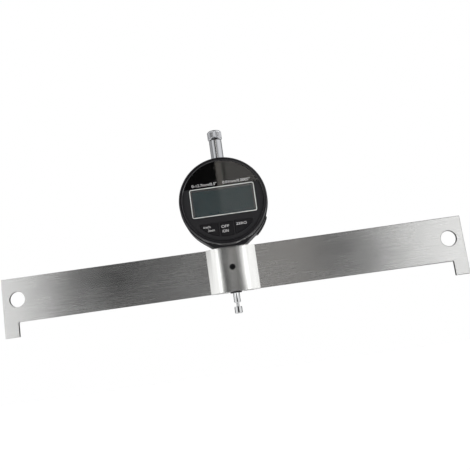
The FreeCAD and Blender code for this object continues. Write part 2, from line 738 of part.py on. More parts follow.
def middle_key_corners(grow):
    half = f"(middle_key_half + {grow})"
    arc = f"(key_arc + {grow})"
    top = f"-(key_top - {grow})"
    low = f"-sqrt({arc} ^ 2 - {half} ^ 2)"
    return [(f"-{half}", low, arc), (half, low), (half, top), (f"-{half}", top)]


def side_key_corners(side, grow):
    inner = f"(side_key_inner - {grow})"
    outer = f"(side_key_outer + {grow})"
    arc = f"(key_arc + {grow})"
    top = f"-(key_top - {grow})"
    return [
        (f"{side} * {inner}", f"-sqrt({arc} ^ 2 - {inner} ^ 2)", f"{side} * {arc}"),
        (f"{side} * {outer}", f"-sqrt({arc} ^ 2 - {outer} ^ 2)"),
        (f"{side} * {outer}", top),
        (f"{side} * {inner}", top),
    ]


def make_face_panel():
    """The front plate: a flange behind the bezel's lip, a recess for the pane, and openings."""
    body = turned("face_panel", [
        ("0", "panel_back"),
        ("panel_flange_radius", "panel_back"),
        ("panel_flange_radius", "panel_back + panel_flange"),
        ("panel_radius", "panel_back + panel_flange"),
        ("panel_radius", "panel_front"),
        ("groove_radius", "panel_front"),
        ("groove_radius", "panel_front - groove_depth"),
        ("groove_radius - groove_width", "panel_front - groove_depth"),
        ("groove_radius - groove_width", "panel_front"),
        ("0", "panel_front"),
    ])
    recess = new_sketch(body, "pane_recess", lift="panel_front")
    outline(recess, pane_corners("pane_gap"))
    pocket(body, recess, "pane_thickness")
    window = new_sketch(body, "panel_window", lift="panel_front")
    outline(window, frame_corners("-frame_line"))
    pocket(body, window)
    keyways = new_sketch(body, "key_openings", lift="panel_front")
    outline(keyways, middle_key_corners("key_gap"))
    outline(keyways, side_key_corners(1, "key_gap"))
    outline(keyways, side_key_corners(-1, "key_gap"))
    pocket(body, keyways)
    put(body, up="dial_height", turn=FACING)
    return body


def make_window_pane():
    """The clear pane over the display and the upper face, flush with the panel."""
    body = new_body("window_pane")
    face = new_sketch(body, "pane_face", lift="panel_front - pane_thickness")
    outline(face, pane_corners("0"))
    pad(body, face, "pane_thickness")
    put(body, up="dial_height", turn=FACING)
    return body


def make_lcd_frame():
    """The thin silver frame round the display, on the pane."""
    body = new_body("lcd_frame")
    face = new_sketch(body, "frame_face", lift="panel_front")
    outline(face, frame_corners("0"))
    outline(face, frame_corners("-frame_line"))
    pad(body, face, "frame_proud")
    put(body, up="dial_height", turn=FACING)
    return body


def make_lcd_glass():
    """The liquid crystal cell, against the back of the panel."""
    body = new_body("lcd_glass")
    face = new_sketch(body, "display_face", lift="display_back")
    half = "frame_width / 2 - frame_line + display_margin"
    low = "-(frame_bottom - frame_line + display_margin)"
    outline(face, box_corners(f"-({half})", low, half, "frame_top - frame_line + display_margin"))
    pad(body, face, "display_thickness")
    put(body, up="dial_height", turn=FACING)
    return body


def make_key(label, corners, centre):
    """A key: its cap, a lap behind the panel that traps it, and a post over its dome."""
    body = new_body(label)
    lap = new_sketch(body, f"{label}_lap", lift="key_back")
    outline(lap, corners("key_gap + key_lap"))
    pad(body, lap, "key_lap_thickness")
    cap = new_sketch(body, f"{label}_cap", lift="key_back")
    outline(cap, corners("0"))
    front = "panel_front + key_proud"
    stage = pad(body, cap, f"{front} - key_back")
    top = number(front)
    edged = bevel(body, stage, "key_bevel", lambda edge: at_height(edge, top))
    post = new_sketch(body, f"{label}_post", lift="post_back")
    circle(post, centre, "-key_centre_drop", "key_post_diameter / 2")
    pad(body, post, "key_post_length")
    put(body, up="dial_height", turn=FACING)
    return edged


# Inside the case

def make_main_board():
    """The circuit board, across the mouth of the case."""
    board = doc.addObject("Part::Cylinder", "main_board")
    bind(board, "Radius", "board_radius")
    bind(board, "Height", "board_thickness")
    put(board, along="-board_back", up="dial_height", turn=FACING)
    return board


def make_controller_chip():
    """The chip on the front of the board, under the display."""
    chip = doc.addObject("Part::Box", "controller_chip")
    bind(chip, "Length", "chip_side")
    bind(chip, "Width", "chip_side")
    bind(chip, "Height", "chip_height")
    put(chip, across="-chip_side / 2", along="-board_front", up="dial_height - chip_side / 2", turn=FACING)
    return chip


def make_elastomer_strips():
    """The two rubber strips that join the board to the display."""
    body = new_body("elastomer_strips")
    body.AllowCompound = True
    face = new_sketch(body, "strip_face", lift="board_front")
    for side in ("", "-"):
        middle = f"{side}strip_rise"
        outline(face, box_corners("-strip_length / 2", f"{middle} - strip_width / 2",
                                  "strip_length / 2", f"{middle} + strip_width / 2"))
    pad(body, face, "display_back - board_front")
    put(body, up="dial_height", turn=FACING)
    return body


def make_key_mat():
    """The rubber mat on the board, with a dome under each key's post."""
    body = new_body("key_mat")
    sheet_face = new_sketch(body, "mat_sheet", lift="board_front")
    half = "(side_key_outer + mat_margin)"
    low = f"-sqrt(mat_bottom_radius ^ 2 - {half} ^ 2)"
    outline(sheet_face, [(f"-{half}", low, "mat_bottom_radius"), (half, low),
                         (half, "mat_margin - key_top"), (f"-{half}", "mat_margin - key_top")])
    pad(body, sheet_face, "mat_thickness")
    domes = new_sketch(body, "mat_domes", lift="board_front")
    for across in ("0", "side_key_centre", "-side_key_centre"):
        circle(domes, across, "-key_centre_drop", "dome_diameter / 2")
    pad(body, domes, "post_back - key_travel - dome_gap - board_front")
    put(body, up="dial_height", turn=FACING)
    return body


def make_cell_drawer():
    """The battery tray: it slides out of the lower right of the case, behind the beam."""
    body = new_body("cell_drawer")
    tray = new_sketch(body, "tray", lift="-drawer_back")
    half = "drawer_width / 2"
    seam = "(case_radius + drawer_seam)"
    outline(tray, [
        ("drawer_inner", f"-{half}"),
        (f"sqrt({seam} ^ 2 - ({half}) ^ 2)", f"-{half}", seam),
        (f"sqrt({seam} ^ 2 - ({half}) ^ 2)", half),
        ("drawer_inner", half),
    ])
    pad(body, tray, "drawer_back - drawer_front")
    head = new_sketch(body, "tray_head", lift="-drawer_back")
    rim = "(case_radius + drawer_proud)"
    wide = "drawer_head / 2"
    # Its ends slope at 45 degrees from the case out to its face.
    slim = "(drawer_head / 2 - drawer_proud)"
    outline(head, [
        (f"sqrt({seam} ^ 2 - ({wide}) ^ 2)", f"-{wide}"),
        (f"sqrt({rim} ^ 2 - {slim} ^ 2)", f"-{slim}", rim),
        (f"sqrt({rim} ^ 2 - {slim} ^ 2)", slim),
        (f"sqrt({seam} ^ 2 - ({wide}) ^ 2)", wide, f"-{seam}"),
    ])
    pad(body, head, "drawer_back - drawer_front")
    seat = new_sketch(body, "cell_seat", lift="-drawer_front")
    circle(seat, "cell_distance", "0", "cell_diameter / 2 + cell_gap")
    pocket(body, seat, "cell_thickness")
    turn = FACING.multiply(FreeCAD.Rotation(FreeCAD.Vector(0, 0, 1), -number("drawer_angle")))
    put(body, up="dial_height", turn=turn)
    return body


def make_button_cell():
    """The silver oxide cell in its drawer."""
    cell = doc.addObject("Part::Cylinder", "button_cell")
    bind(cell, "Radius", "cell_diameter / 2")
    bind(cell, "Height", "cell_thickness")
    put(cell, across="cell_distance * cos(drawer_angle)", along="drawer_front + cell_thickness",
        up="dial_height - cell_distance * sin(drawer_angle)", turn=FACING)
    return cell


def make_cell_clips():
    """Two spring leaves from the board to the cell: one at its middle, one at its rim."""
    body = new_body("cell_clips")
    body.AllowCompound = True
    side = new_sketch(body, "leaf_side", "YZ_Plane")
    tip = "leaf_gap - drawer_front"
    for turn in (1, -1):
        near = f"{turn} * (leaf_spread / 2 - leaf_thickness)"
        far = f"{turn} * leaf_spread / 2"
        foot = f"{turn} * (leaf_spread / 2 - leaf_thickness + leaf_foot)"
        outline(side, [(near, tip), (far, tip), (far, "board_back - leaf_thickness"),
                       (foot, "board_back - leaf_thickness"), (foot, "board_back"),
                       (near, "board_back")])
    pad(body, side, "leaf_width", symmetric=True)
    put(body, across="cell_distance * cos(drawer_angle)",
        up="dial_height - cell_distance * sin(drawer_angle)", turn=FACING)
    return body


make_arm("left_arm", -1)
make_arm("right_arm", 1)
make_hub()
make_clamp_screw()
make_hub_bush()
make_spindle()
make_contact_point()
make_lifting_knob()
make_scale_carriage()
make_carriage_screw()
make_scale_strip()
make_return_spring()
make_stem()
make_bearing("lower_bush", "stem_bottom")
make_bearing("upper_bush", "sleeve_top - bearing_length")
make_upper_sleeve()
make_guide_pin()
make_rear_case()
make_back_cover()
make_back_screws()
make_bezel_ring()
make_face_panel()
make_window_pane()
make_lcd_frame()
make_lcd_glass()
make_key("key_power", middle_key_corners, "0")
make_key("key_zero", lambda grow: side_key_corners(1, grow), "side_key_centre")
make_key("key_unit", lambda grow: side_key_corners(-1, grow), "-side_key_centre")
make_main_board()
make_controller_chip()
make_elastomer_strips()
make_key_mat()
make_cell_drawer()
make_button_cell()
make_cell_clips()
doc.recompute()

NODES = [
    "left_arm", "right_arm", "hub", "clamp_screw", "hub_bush", "spindle", "contact_point",
    "lifting_knob", "scale_carriage", "carriage_screw", "scale_strip", "return_spring", "stem",
    "lower_bush", "upper_bush", "upper_sleeve", "guide_pin", "rear_case", "back_cover",
    "back_screws", "bezel_ring", "face_panel", "window_pane", "lcd_frame", "lcd_glass",
    "key_power", "key_zero", "key_unit", "main_board", "controller_chip", "elastomer_strips",
    "key_mat", "cell_drawer", "button_cell", "cell_clips",
]

for thing in doc.Objects:
    if "Invalid" in thing.State or "Error" in thing.State:
        raise RuntimeError(f"{thing.Label} failed: {thing.State}")
parts = {name: doc.getObject(name) for name in NODES}
for name, thing in parts.items():
    if thing.Shape.isNull() or not thing.Shape.isValid():
        raise RuntimeError(f"{name} has no valid shape")

os.makedirs("parts", exist_ok=True)
for name, thing in parts.items():
    thing.Shape.exportStep(f"parts/{name}.step")
    print(name, round(thing.Shape.Volume, 2), len(thing.Shape.Solids), thing.Shape.BoundBox)
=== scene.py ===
import logging
import math
from collections.abc import Callable
from dataclasses import dataclass, field
from enum import Enum

import bmesh
import bpy
from bmesh.types import BMesh
from bpy.types import Material, Mesh, Node, NodeSocket, NodeTree, Object
from mathutils import Matrix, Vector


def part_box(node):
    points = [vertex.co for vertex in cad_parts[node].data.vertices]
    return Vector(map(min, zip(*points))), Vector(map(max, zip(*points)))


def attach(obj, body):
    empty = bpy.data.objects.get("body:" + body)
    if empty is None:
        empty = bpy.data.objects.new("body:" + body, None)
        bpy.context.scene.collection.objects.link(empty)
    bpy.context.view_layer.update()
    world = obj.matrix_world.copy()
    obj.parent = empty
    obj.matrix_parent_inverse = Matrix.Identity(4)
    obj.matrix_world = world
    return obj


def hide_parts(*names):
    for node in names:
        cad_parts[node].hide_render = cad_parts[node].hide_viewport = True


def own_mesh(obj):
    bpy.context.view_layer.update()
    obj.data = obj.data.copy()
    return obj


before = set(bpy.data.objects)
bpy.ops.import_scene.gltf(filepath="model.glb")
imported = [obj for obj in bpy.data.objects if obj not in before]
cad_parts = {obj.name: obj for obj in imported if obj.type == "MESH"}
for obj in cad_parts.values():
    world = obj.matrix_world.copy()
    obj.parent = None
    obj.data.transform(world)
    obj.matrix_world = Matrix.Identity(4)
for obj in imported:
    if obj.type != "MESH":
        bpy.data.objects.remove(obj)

# Looks of a neck relief gauge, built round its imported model. Sizes are in millimetres and become
# metres where a mesh is made. X runs along the beam, Z up, and the indicator faces -Y.

log = logging.getLogger("relief_gauge")
MM = 0.001
# Past this angle an edge is sharp.
SHARP = math.radians(35)
# From a flat drawing to the gauge's front: its X stays, its Y goes up and its Z comes forward.
FACING = Matrix.Rotation(math.radians(90), 4, "X")

Point = tuple[float, float]
Triple = tuple[float, float, float]
Box = tuple[float, float, float, float]
Loop = list[Point]
Sockets = bpy.types.bpy_prop_collection


class Body(str, Enum):
    """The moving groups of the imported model."""

    GAUGE = "gauge"
    SPINDLE = "spindle_group"
    POWER = "power_key"
    ZERO = "zero_key"
    UNIT = "unit_key"
    DRAWER = "drawer"


class Slot(str, Enum):
    """The record's material slots that new pieces stand for."""

    PLATE = "brushed_steel"
    HUB = "hub_steel"
    BRIGHT = "bright_steel"
    BLACKENED = "black_steel"
    MOULDING = "black_moulding"
    PANE = "clear_pane"
    TRIM = "silver_trim"
    RUBBER = "key_rubber"


def reach(node: str, axis: str) -> Point:
    """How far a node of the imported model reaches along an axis.

    Args:
        node: the node's name.
        axis: "X", "Y" or "Z".

    Returns:
        Its lowest and its highest place on the axis, in millimetres.
    """
    low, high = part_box(node)
    at = "XYZ".index(axis)
    return low[at] / MM, high[at] / MM


# The height of the dial's centre, and the bore of the bezel's lip.
DIAL = sum(reach("bezel_ring", "Z")) / 2
LIP_BORE = 26.6


# Nodes and finishes


def linear(code: str) -> tuple[float, float, float, float]:
    """Turn an sRGB hex colour to the linear values that a node takes.

    Args:
        code: the colour, as "#rrggbb".

    Returns:
        Red, green, blue and an alpha of 1.
    """
    channels = [int(code[at:at + 2], 16) / 255 for at in (1, 3, 5)]
    values = [c / 12.92 if c <= 0.04045 else ((c + 0.055) / 1.055) ** 2.4 for c in channels]
    return (values[0], values[1], values[2], 1.0)


def plug(tree: NodeTree, sockets: Sockets, values: dict) -> None:
    """Fill a node's inputs.

    Args:
        tree: the node's tree.
        sockets: the node's inputs.
        values: for each named or numbered input a value, another node's output, or a node, which
            stands for its first output.
    """
    for key, value in values.items():
        if isinstance(value, Node):
            value = value.outputs[0]
        if isinstance(value, NodeSocket):
            tree.links.new(value, sockets[key])
        else:
            sockets[key].default_value = value


def add_node(tree: NodeTree, kind: str, inputs: dict | None = None, **settings: object) -> Node:
    """Add a node with its settings, and what goes into it.

    Args:
        tree: the tree that gets the node.
        kind: the node's type.
        inputs: what goes into it, as plug takes it.
        settings: the node's own properties.

    Returns:
        The new node.
    """
    node = tree.nodes.new(kind)
    for name, value in settings.items():
        setattr(node, name, value)
    plug(tree, node.inputs, inputs or {})
    return node


def new_material(name: str) -> Material:
    """Make a material with nodes.

    Args:
        name: the material's name.

    Returns:
        The material.
    """
    material = bpy.data.materials.new(name)
    material.use_nodes = True
    return material


@dataclass
class Coat:
    """A finish while it becomes a material: the material's tree, and its shader's inputs."""

    finish: "Finish"
    tree: NodeTree
    sockets: Sockets

    def put(self, values: dict) -> None:
        """Fill the shader's inputs."""
        plug(self.tree, self.sockets, values)

    def marks(self, size: float, stretch: Triple = (1, 1, 1), detail: float = 2.0) -> Node:
        """A soft random pattern on the object's own coordinates.

        Args:
            size: the size of one mark, in millimetres.
            stretch: how many times longer the marks are along X, Y and Z.
            detail: how much finer marking it carries.

        Returns:
            The pattern, from 0 to 1.
        """
        place = add_node(self.tree, "ShaderNodeTexCoord").outputs["Object"]
        scale = tuple(1 / (MM * size * longer) for longer in stretch)
        scaled = add_node(self.tree, "ShaderNodeMapping", {"Vector": place, "Scale": scale})
        return add_node(self.tree, "ShaderNodeTexNoise", {"Vector": scaled, "Scale": 1.0, "Detail": detail})

    def ranged(self, pattern: Node, low: float = 0.0, high: float = 1.0) -> Node:
        """The middle of a random pattern's range, spread over low to high."""
        inputs = {"Value": pattern, "From Min": 0.3, "From Max": 0.7, "To Min": low, "To Max": high}
        return add_node(self.tree, "ShaderNodeMapRange", inputs)

    def mottle(self, pattern: Node) -> None:
        """Let the colour drift between the finish's two colours."""
        inputs = {0: self.ranged(pattern), 6: linear(self.finish.colour), 7: linear(self.finish.drift)}
        self.put({"Base Color": add_node(self.tree, "ShaderNodeMix", inputs, data_type="RGBA").outputs[2]})

    def scuff(self, pattern: Node, less: float, more: float) -> None:
        """Let the roughness drift, from less than the finish's own to more."""
        own = self.finish.roughness
        self.put({"Roughness": self.ranged(pattern, own - less, own + more)})

    def emboss(self, pattern: Node, height: float, strength: float = 0.5) -> None:
        """Raise a pattern, height millimetres high."""
        inputs = {"Height": pattern, "Distance": height * MM, "Strength": strength}
        self.put({"Normal": add_node(self.tree, "ShaderNodeBump", inputs)})


@dataclass(frozen=True)
class Finish:
    """A surface: its name, its colour, how rough it is, and the colour that it drifts to."""

    name: str
    colour: str
    roughness: float
    drift: str = ""

    def make(self) -> Material:
        """Make the material, or find it if it is made already.

        Returns:
            The material.
        """
        found = bpy.data.materials.get(self.name)
        if found:
            return found
        material = new_material(self.name)
        coat = Coat(self, material.node_tree, material.node_tree.nodes["Principled BSDF"].inputs)
        coat.put({"Base Color": linear(self.colour), "Roughness": self.roughness})
        self.dress(coat)
        return material

    def dress(self, coat: Coat) -> None:
        """Add the finish's own nodes and numbers. A plain finish has none."""


@dataclass(frozen=True)
class BrushedSteel(Finish):
    """Cold-rolled stainless plate, belt-brushed along its length: it shines across the brushing.

    The belt's scratches are about 0.05 mm apart, and are drawn 0.35 mm apart so that they show.
    """

    scratch: float = 0.35
    length: float = 90.0
    cloud: float = 22.0

    def dress(self, coat: Coat) -> None:
        """Long fine scratches along X, and broad faint clouds from handling.

        Args:
            coat: the finish's tree and shader inputs.
        """
        scratches = coat.marks(self.scratch, (self.length, 1, 1), detail=3)
        clouds = coat.marks(self.cloud, (1.6, 1, 1))
        both = add_node(coat.tree, "ShaderNodeMath", {0: scratches, 1: clouds}, operation="ADD")
        half = add_node(coat.tree, "ShaderNodeMath", {0: both, 1: 0.5}, operation="MULTIPLY")
        tangent = add_node(coat.tree, "ShaderNodeTangent", direction_type="UV_MAP", uv_map="Brushing")
        coat.mottle(half)
        coat.scuff(half, 0.04, 0.04)
        coat.emboss(scratches, 0.0013)
        coat.put({"Metallic": 1.0, "Anisotropic": 1.0, "Tangent": tangent})


@dataclass(frozen=True)
class CutEdgeAndShade(Finish):
    """Stainless plate's laser-cut edge: dull, dark partly from the cut and partly as painted shade, with
    fine drag lines through the thickness.
    """

    def dress(self, coat: Coat) -> None:
        """Drag lines about 0.25 mm apart, from face to face.

        Args:
            coat: the finish's tree and shader inputs.
        """
        lines = coat.marks(0.25, (1, 30, 1))
        coat.mottle(lines)
        coat.emboss(lines, 0.01)
        coat.put({"Metallic": 1.0})


@dataclass(frozen=True)
class SatinSteel(Finish):
    """Milled and bead-blasted stainless block: soft, even shading with a faint cloud."""

    def dress(self, coat: Coat) -> None:
        """Faint upright draw marks and a fine blasted grain.

        Args:
            coat: the finish's tree and shader inputs.
        """
        draws = coat.marks(0.4, (1, 1, 40))
        coat.mottle(draws)
        coat.scuff(draws, 0.03, 0.03)
        coat.emboss(coat.marks(0.25), 0.004, 0.25)
        coat.put({"Metallic": 1.0})


@dataclass(frozen=True)
class TurnedMetal(Finish):
    """Metal turned or ground in a lathe about an upright axis: bright, with faint rings round it."""

    ring: float = 0.3
    depth: float = 0.002

    def dress(self, coat: Coat) -> None:
        """Fine rings from the tool's feed, and a slightly uneven polish.

        Args:
            coat: the finish's tree and shader inputs.
        """
        coat.scuff(coat.marks(3.0, (1, 1, 2)), self.roughness * 0.3, self.roughness * 0.4)
        coat.emboss(coat.marks(self.ring, (60, 60, 1), detail=3), self.depth)
        coat.put({"Metallic": 1.0})


@dataclass(frozen=True)
class Blackened(Finish):
    """Black-oxide steel: a dark oily skin over metal, a little brighter where it is handled."""

    def dress(self, coat: Coat) -> None:
        """A mottled skin.

        Args:
            coat: the finish's tree and shader inputs.
        """
        coat.mottle(coat.marks(0.8))
        coat.scuff(coat.marks(0.5), 0.0, 0.12)
        coat.put({"Metallic": 0.6})


@dataclass(frozen=True)
class MouldedPlastic(Finish):
    """Injection-moulded ABS from a spark-eroded tool: satin black, with a grain of about 0.1 mm.

    The grain is drawn at 0.3 mm, because a finer one doesn't show.
    """

    grain: float = 0.3
    height: float = 0.012

    def dress(self, coat: Coat) -> None:
        """The tool's grain, and a sheen that varies with handling.

        Args:
            coat: the finish's tree and shader inputs.
        """
        coat.scuff(coat.marks(6.0), 0.05, 0.05)
        coat.emboss(coat.marks(self.grain, detail=1), self.height)
        coat.put({"IOR": 1.5})


@dataclass(frozen=True)
class ClearPane(Finish):
    """Cast acrylic sheet, polished: clear, with a hard mirror gloss."""

    def dress(self, coat: Coat) -> None:
        """Clear acrylic with faint wipe marks in its gloss."""
        coat.scuff(coat.marks(5.0, (1, 1, 3)), 0.0, 0.03)
        coat.put({"Transmission Weight": 1.0, "IOR": 1.49})


@dataclass(frozen=True)
class Film(Finish):
    """A film under the clear pane, which gives it its gloss: the display's polariser, or a black print."""

    def dress(self, coat: Coat) -> None:
        """The film's faint drift in colour and its fine grain.

        Args:
            coat: the finish's tree and shader inputs.
        """
        coat.mottle(coat.marks(16.0))
        coat.emboss(coat.marks(0.25), 0.002, 0.3)
        coat.put({"Specular IOR Level": 0.0})


@dataclass(frozen=True)
class MouldedRubber(Finish):
    """Compression-moulded silicone rubber: dull black with a soft edge to its sheen."""

    def dress(self, coat: Coat) -> None:
        """A dusty bloom over a fine moulded skin.

        Args:
            coat: the finish's tree and shader inputs.
        """
        coat.mottle(coat.marks(1.5))
        coat.emboss(coat.marks(0.25), 0.01, 0.4)
        coat.put({"IOR": 1.41, "Specular IOR Level": 0.3})


@dataclass(frozen=True)
class PaintedInk(Finish):
    """Pad-printed white ink, a little thin in places."""

    def dress(self, coat: Coat) -> None:
        """Thin places in the ink."""
        coat.mottle(coat.marks(0.3))


@dataclass(frozen=True)
class SolderMask(Finish):
    """Green solder mask on a glass-epoxy board: glossy, with the copper tracks showing through."""

    track: float = 0.8

    def dress(self, coat: Coat) -> None:
        """Tracks about 0.8 mm apart, as a cell pattern under the mask.

        Args:
            coat: the finish's tree and shader inputs.
        """
        place = add_node(coat.tree, "ShaderNodeTexCoord").outputs["Object"]
        inputs = {"Vector": place, "Scale": 1 / (self.track * MM)}
        tracks = add_node(coat.tree, "ShaderNodeTexVoronoi", inputs, distance="CHEBYCHEV")
        coat.mottle(tracks)
        coat.emboss(coat.ranged(tracks), 0.03, 0.4)


PLATE = BrushedSteel("brushed_stainless_plate", "#d3d3d2", 0.26, "#e2e2e1")
# The cut edge's dark colour is partly the cut's own and partly painted shade along the plates' edges.
EDGE_AND_SHADE = CutEdgeAndShade("laser_cut_edge_and_painted_shade", "#393938", 0.5, "#5a5a58")
BLOCK = SatinSteel("satin_stainless_block", "#dadad8", 0.20, "#e4e4e2")
GROUND = TurnedMetal("ground_bright_steel", "#c4c5c6", 0.06)
CHROMED = TurnedMetal("chromed_turned_brass", "#b6b7ba", 0.08, ring=0.25)
KNURLED = TurnedMetal("knurled_chromed_brass", "#b6b7ba", 0.26, ring=0.25)
BRONZE = TurnedMetal("sintered_bronze", "#b58a52", 0.35, ring=0.2, depth=0.004)
COPPER = TurnedMetal("stamped_phosphor_bronze", "#c08a5c", 0.25, ring=0.4, depth=0.003)
CELL = TurnedMetal("nickel_plated_cell_can", "#c9c8c2", 0.16, ring=0.5)
TRIM = TurnedMetal("satin_anodised_aluminium", "#f4f6f3", 0.55, ring=0.2)
OXIDE = Blackened("black_oxide_steel", "#121214", 0.38, "#2b2b2d")
CASE = MouldedPlastic("moulded_abs_case", "#151418", 0.42)
GLOSS = MouldedPlastic("moulded_abs_bezel", "#131216", 0.2, grain=0.35, height=0.004)
PANEL = MouldedPlastic("moulded_abs_face_panel", "#0e0d12", 0.5, height=0.014)
CHIP = MouldedPlastic("epoxy_chip_package", "#141414", 0.5)
PANE = ClearPane("polished_acrylic_pane", "#ffffff", 0.0)
CRYSTAL = Film("liquid_crystal_cell", "#0a2a2e", 0.35, "#123134")
BACKING = Film("black_print_under_pane", "#040404", 0.6, "#080808")
RUBBER = MouldedRubber("moulded_silicone_rubber", "#0f0e11", 0.7, "#18171a")
INK = PaintedInk("pad_printed_white_ink", "#f2f1f1", 0.5, "#cfcece")
MASK = SolderMask("solder_mask_board", "#0d4425", 0.3, "#1d6b3c")


# Meshes


def baked(obj: Object) -> Mesh:
    """Take an object's mesh with its modifiers applied, and remove the object.

    Args:
        obj: the object, which is in the scene.

    Returns:
        The plain mesh.
    """
    graph = bpy.context.evaluated_depsgraph_get()
    mesh = bpy.data.meshes.new_from_object(obj.evaluated_get(graph), depsgraph=graph)
    bpy.data.objects.remove(obj)
    return mesh


def shown(name: str, data: bpy.types.ID) -> Object:
    """Put an object of a mesh, a curve or a camera in the scene.

    Args:
        name: the object's name.
        data: what it shows.

    Returns:
        The object.
    """
    obj = bpy.data.objects.new(name, data)
    bpy.context.scene.collection.objects.link(obj)
    return obj


def edited(mesh: Mesh, work: Callable[[BMesh], object]) -> Mesh:
    """Run some bmesh work on a mesh.

    Args:
        mesh: the mesh.
        work: what is done to its bmesh.

    Returns:
        The same mesh.
    """
    grid = bmesh.new()
    grid.from_mesh(mesh)
    work(grid)
    grid.to_mesh(mesh)
    grid.free()
    return mesh


def joined_up(grid: BMesh) -> None:
    """Merge a mesh's doubles and point its faces outwards."""
    bmesh.ops.remove_doubles(grid, verts=grid.verts, dist=2e-6)
    bmesh.ops.recalc_face_normals(grid, faces=grid.faces)


def made_whole(grid: BMesh) -> None:
    """Merge a mesh's doubles, and dissolve the lines between faces that lie flat."""
    bmesh.ops.remove_doubles(grid, verts=grid.verts, dist=2e-6)
    bmesh.ops.dissolve_limit(grid, angle_limit=math.radians(0.3), verts=grid.verts, edges=grid.edges)


def arc(across: float, up: float, radius: float, start: float, end: float, steps: int) -> Loop:
    """Points along an arc, both ends included.

    Args:
        across: the centre's place across.
        up: the centre's height.
        radius: the arc's radius.
        start: the angle of its first point, in degrees from the right, turning up.
        end: the angle of its last point.
        steps: how many straight steps make it.

    Returns:
        The points in order.
    """
    turns = [math.radians(start + (end - start) * step / steps) for step in range(steps + 1)]
    return [(across + radius * math.cos(t), up + radius * math.sin(t)) for t in turns]


def ring_of(radius: float, across: float = 0.0, up: float = 0.0, steps: int = 96) -> Loop:
    """Points round a circle."""
    return arc(across, up, radius, 0, 360, steps)[:-1]


def rounded_box(left: float, low: float, right: float, high: float, bend: float) -> Loop:
    """A rectangle with round corners.

    Args:
        left: its left side.
        low: its lower side.
        right: its right side.
        high: its upper side.
        bend: its corners' radius.

    Returns:
        The points round it, from its lower right corner.
    """
    right, left, low, high = right - bend, left + bend, low + bend, high - bend
    corners = [(right, low, -90), (right, high, 0), (left, high, 90), (left, low, 180)]
    return [point for across, up, start in corners for point in arc(across, up, bend, start, start + 90, 8)]


def lathe(profile: Loop, segments: int = 128) -> Mesh:
    """A closed turned solid about Z.

    Args:
        profile: (radius, height) corners, in millimetres. It starts and ends on the axis, or it
            is a closed section of a ring.
        segments: how many steps make the full turn.

    Returns:
        The mesh, in metres.
    """
    def spin(grid: BMesh) -> None:
        """Turn the profile's points to rings, and join each ring to the next with faces.

        Args:
            grid: the empty bmesh that gets them.
        """
        rings = []
        for radius, height in profile:
            if radius < 1e-6:
                rings.append([grid.verts.new((0, 0, height * MM))] * segments)
            else:
                rings.append([grid.verts.new((x * MM, y * MM, height * MM))
                              for x, y in ring_of(radius, steps=segments)])
        for low, high in zip(rings, rings[1:] + rings[:1]):
            for step in range(segments):
                after = (step + 1) % segments
                face = list(dict.fromkeys([low[step], low[after], high[after], high[step]]))
                if len(face) > 2:
                    grid.faces.new(face)
        bmesh.ops.recalc_face_normals(grid, faces=grid.faces)

    return edited(bpy.data.meshes.new("lathe"), spin)


def plate(loops: list[Loop], near: float, far: float) -> Mesh:
    """A flat plate with holes, from its outlines.

    Args:
        loops: the outlines in millimetres. One inside another is a hole.
        near: the height of its back, along Z.
        far: the height of its front.

    Returns:
        The mesh, in metres.
    """
    curve = bpy.data.curves.new("outline", "CURVE")
    curve.dimensions = "2D"
    curve.fill_mode = "BOTH"
    curve.extrude = (far - near) / 2 * MM
    for loop in loops:
        spline = curve.splines.new("POLY")
        spline.points.add(len(loop) - 1)
        for point, (across, up) in zip(spline.points, loop):
            point.co = (across * MM, up * MM, 0, 1)
        spline.use_cyclic_u = True
    mesh = edited(edited(baked(shown("outline", curve)), joined_up), made_whole)
    mesh.transform(Matrix.Translation((0, 0, (near + far) / 2 * MM)))
    return mesh


def faced(mesh: Mesh, height: float = 0.0) -> Mesh:
    """Turn a flat mesh to the gauge's front, and lift it by a height."""
    mesh.transform(Matrix.Translation((0, 0, height * MM)) @ FACING)
    return mesh


def cut(mesh: Mesh, cutter: Mesh) -> Mesh:
    """Take one solid out of another.

    Args:
        mesh: the solid that is cut.
        cutter: what is taken out of it.

    Returns:
        The new mesh.
    """
    solid = shown("solid", mesh)
    tool = shown("tool", cutter)
    modifier = solid.modifiers.new("cut", "BOOLEAN")
    modifier.operation = "DIFFERENCE"
    modifier.solver = "EXACT"
    modifier.object = tool
    result = baked(solid)
    bpy.data.objects.remove(tool)
    return result


def eased(mesh: Mesh, width: float) -> Mesh:
    """Break a solid's sharp edges, so that they catch the light.

    Args:
        mesh: the solid.
        width: how far each edge is cut back, in millimetres.

    Returns:
        The new mesh.
    """
    mesh.shade_smooth()
    mesh.set_sharp_from_angle(angle=SHARP)
    solid = shown("solid", mesh)
    modifier = solid.modifiers.new("ease", "BEVEL")
    modifier.width = width * MM
    modifier.segments = 2
    modifier.limit_method = "ANGLE"
    modifier.angle_limit = SHARP
    modifier.harden_normals = True
    modifier.miter_outer = "MITER_ARC"
    return baked(solid)


def from_frame(node: str) -> Mesh:
    """Copy a node's mesh, with its loose triangles joined and its flat faces made whole.

    Args:
        node: the node's name.

    Returns:
        The copy, with no material.
    """
    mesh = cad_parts[node].data.copy()
    mesh.materials.clear()
    return edited(mesh, made_whole)


def fitted(name: str, mesh: Mesh, finish: Finish, slot: Slot, *nodes: str,
           body: Body = Body.GAUGE) -> Object:
    """Put a finished mesh on the model, in place of the nodes that it stands for.

    Args:
        name: the piece's name.
        mesh: its mesh, in place.
        finish: its surface.
        slot: the record's slot that its finish stands for. It is not used.
        nodes: the nodes that it replaces.
        body: the moving group that it rides on.

    Returns:
        The piece.
    """
    mesh.materials.clear()
    mesh.materials.append(finish.make())
    mesh.name = name
    piece = shown(name, mesh)
    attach(piece, body.value)
    if nodes:
        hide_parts(*nodes)
    log.info("%s: %d faces on %s", name, len(mesh.polygons), body.value)
    return piece


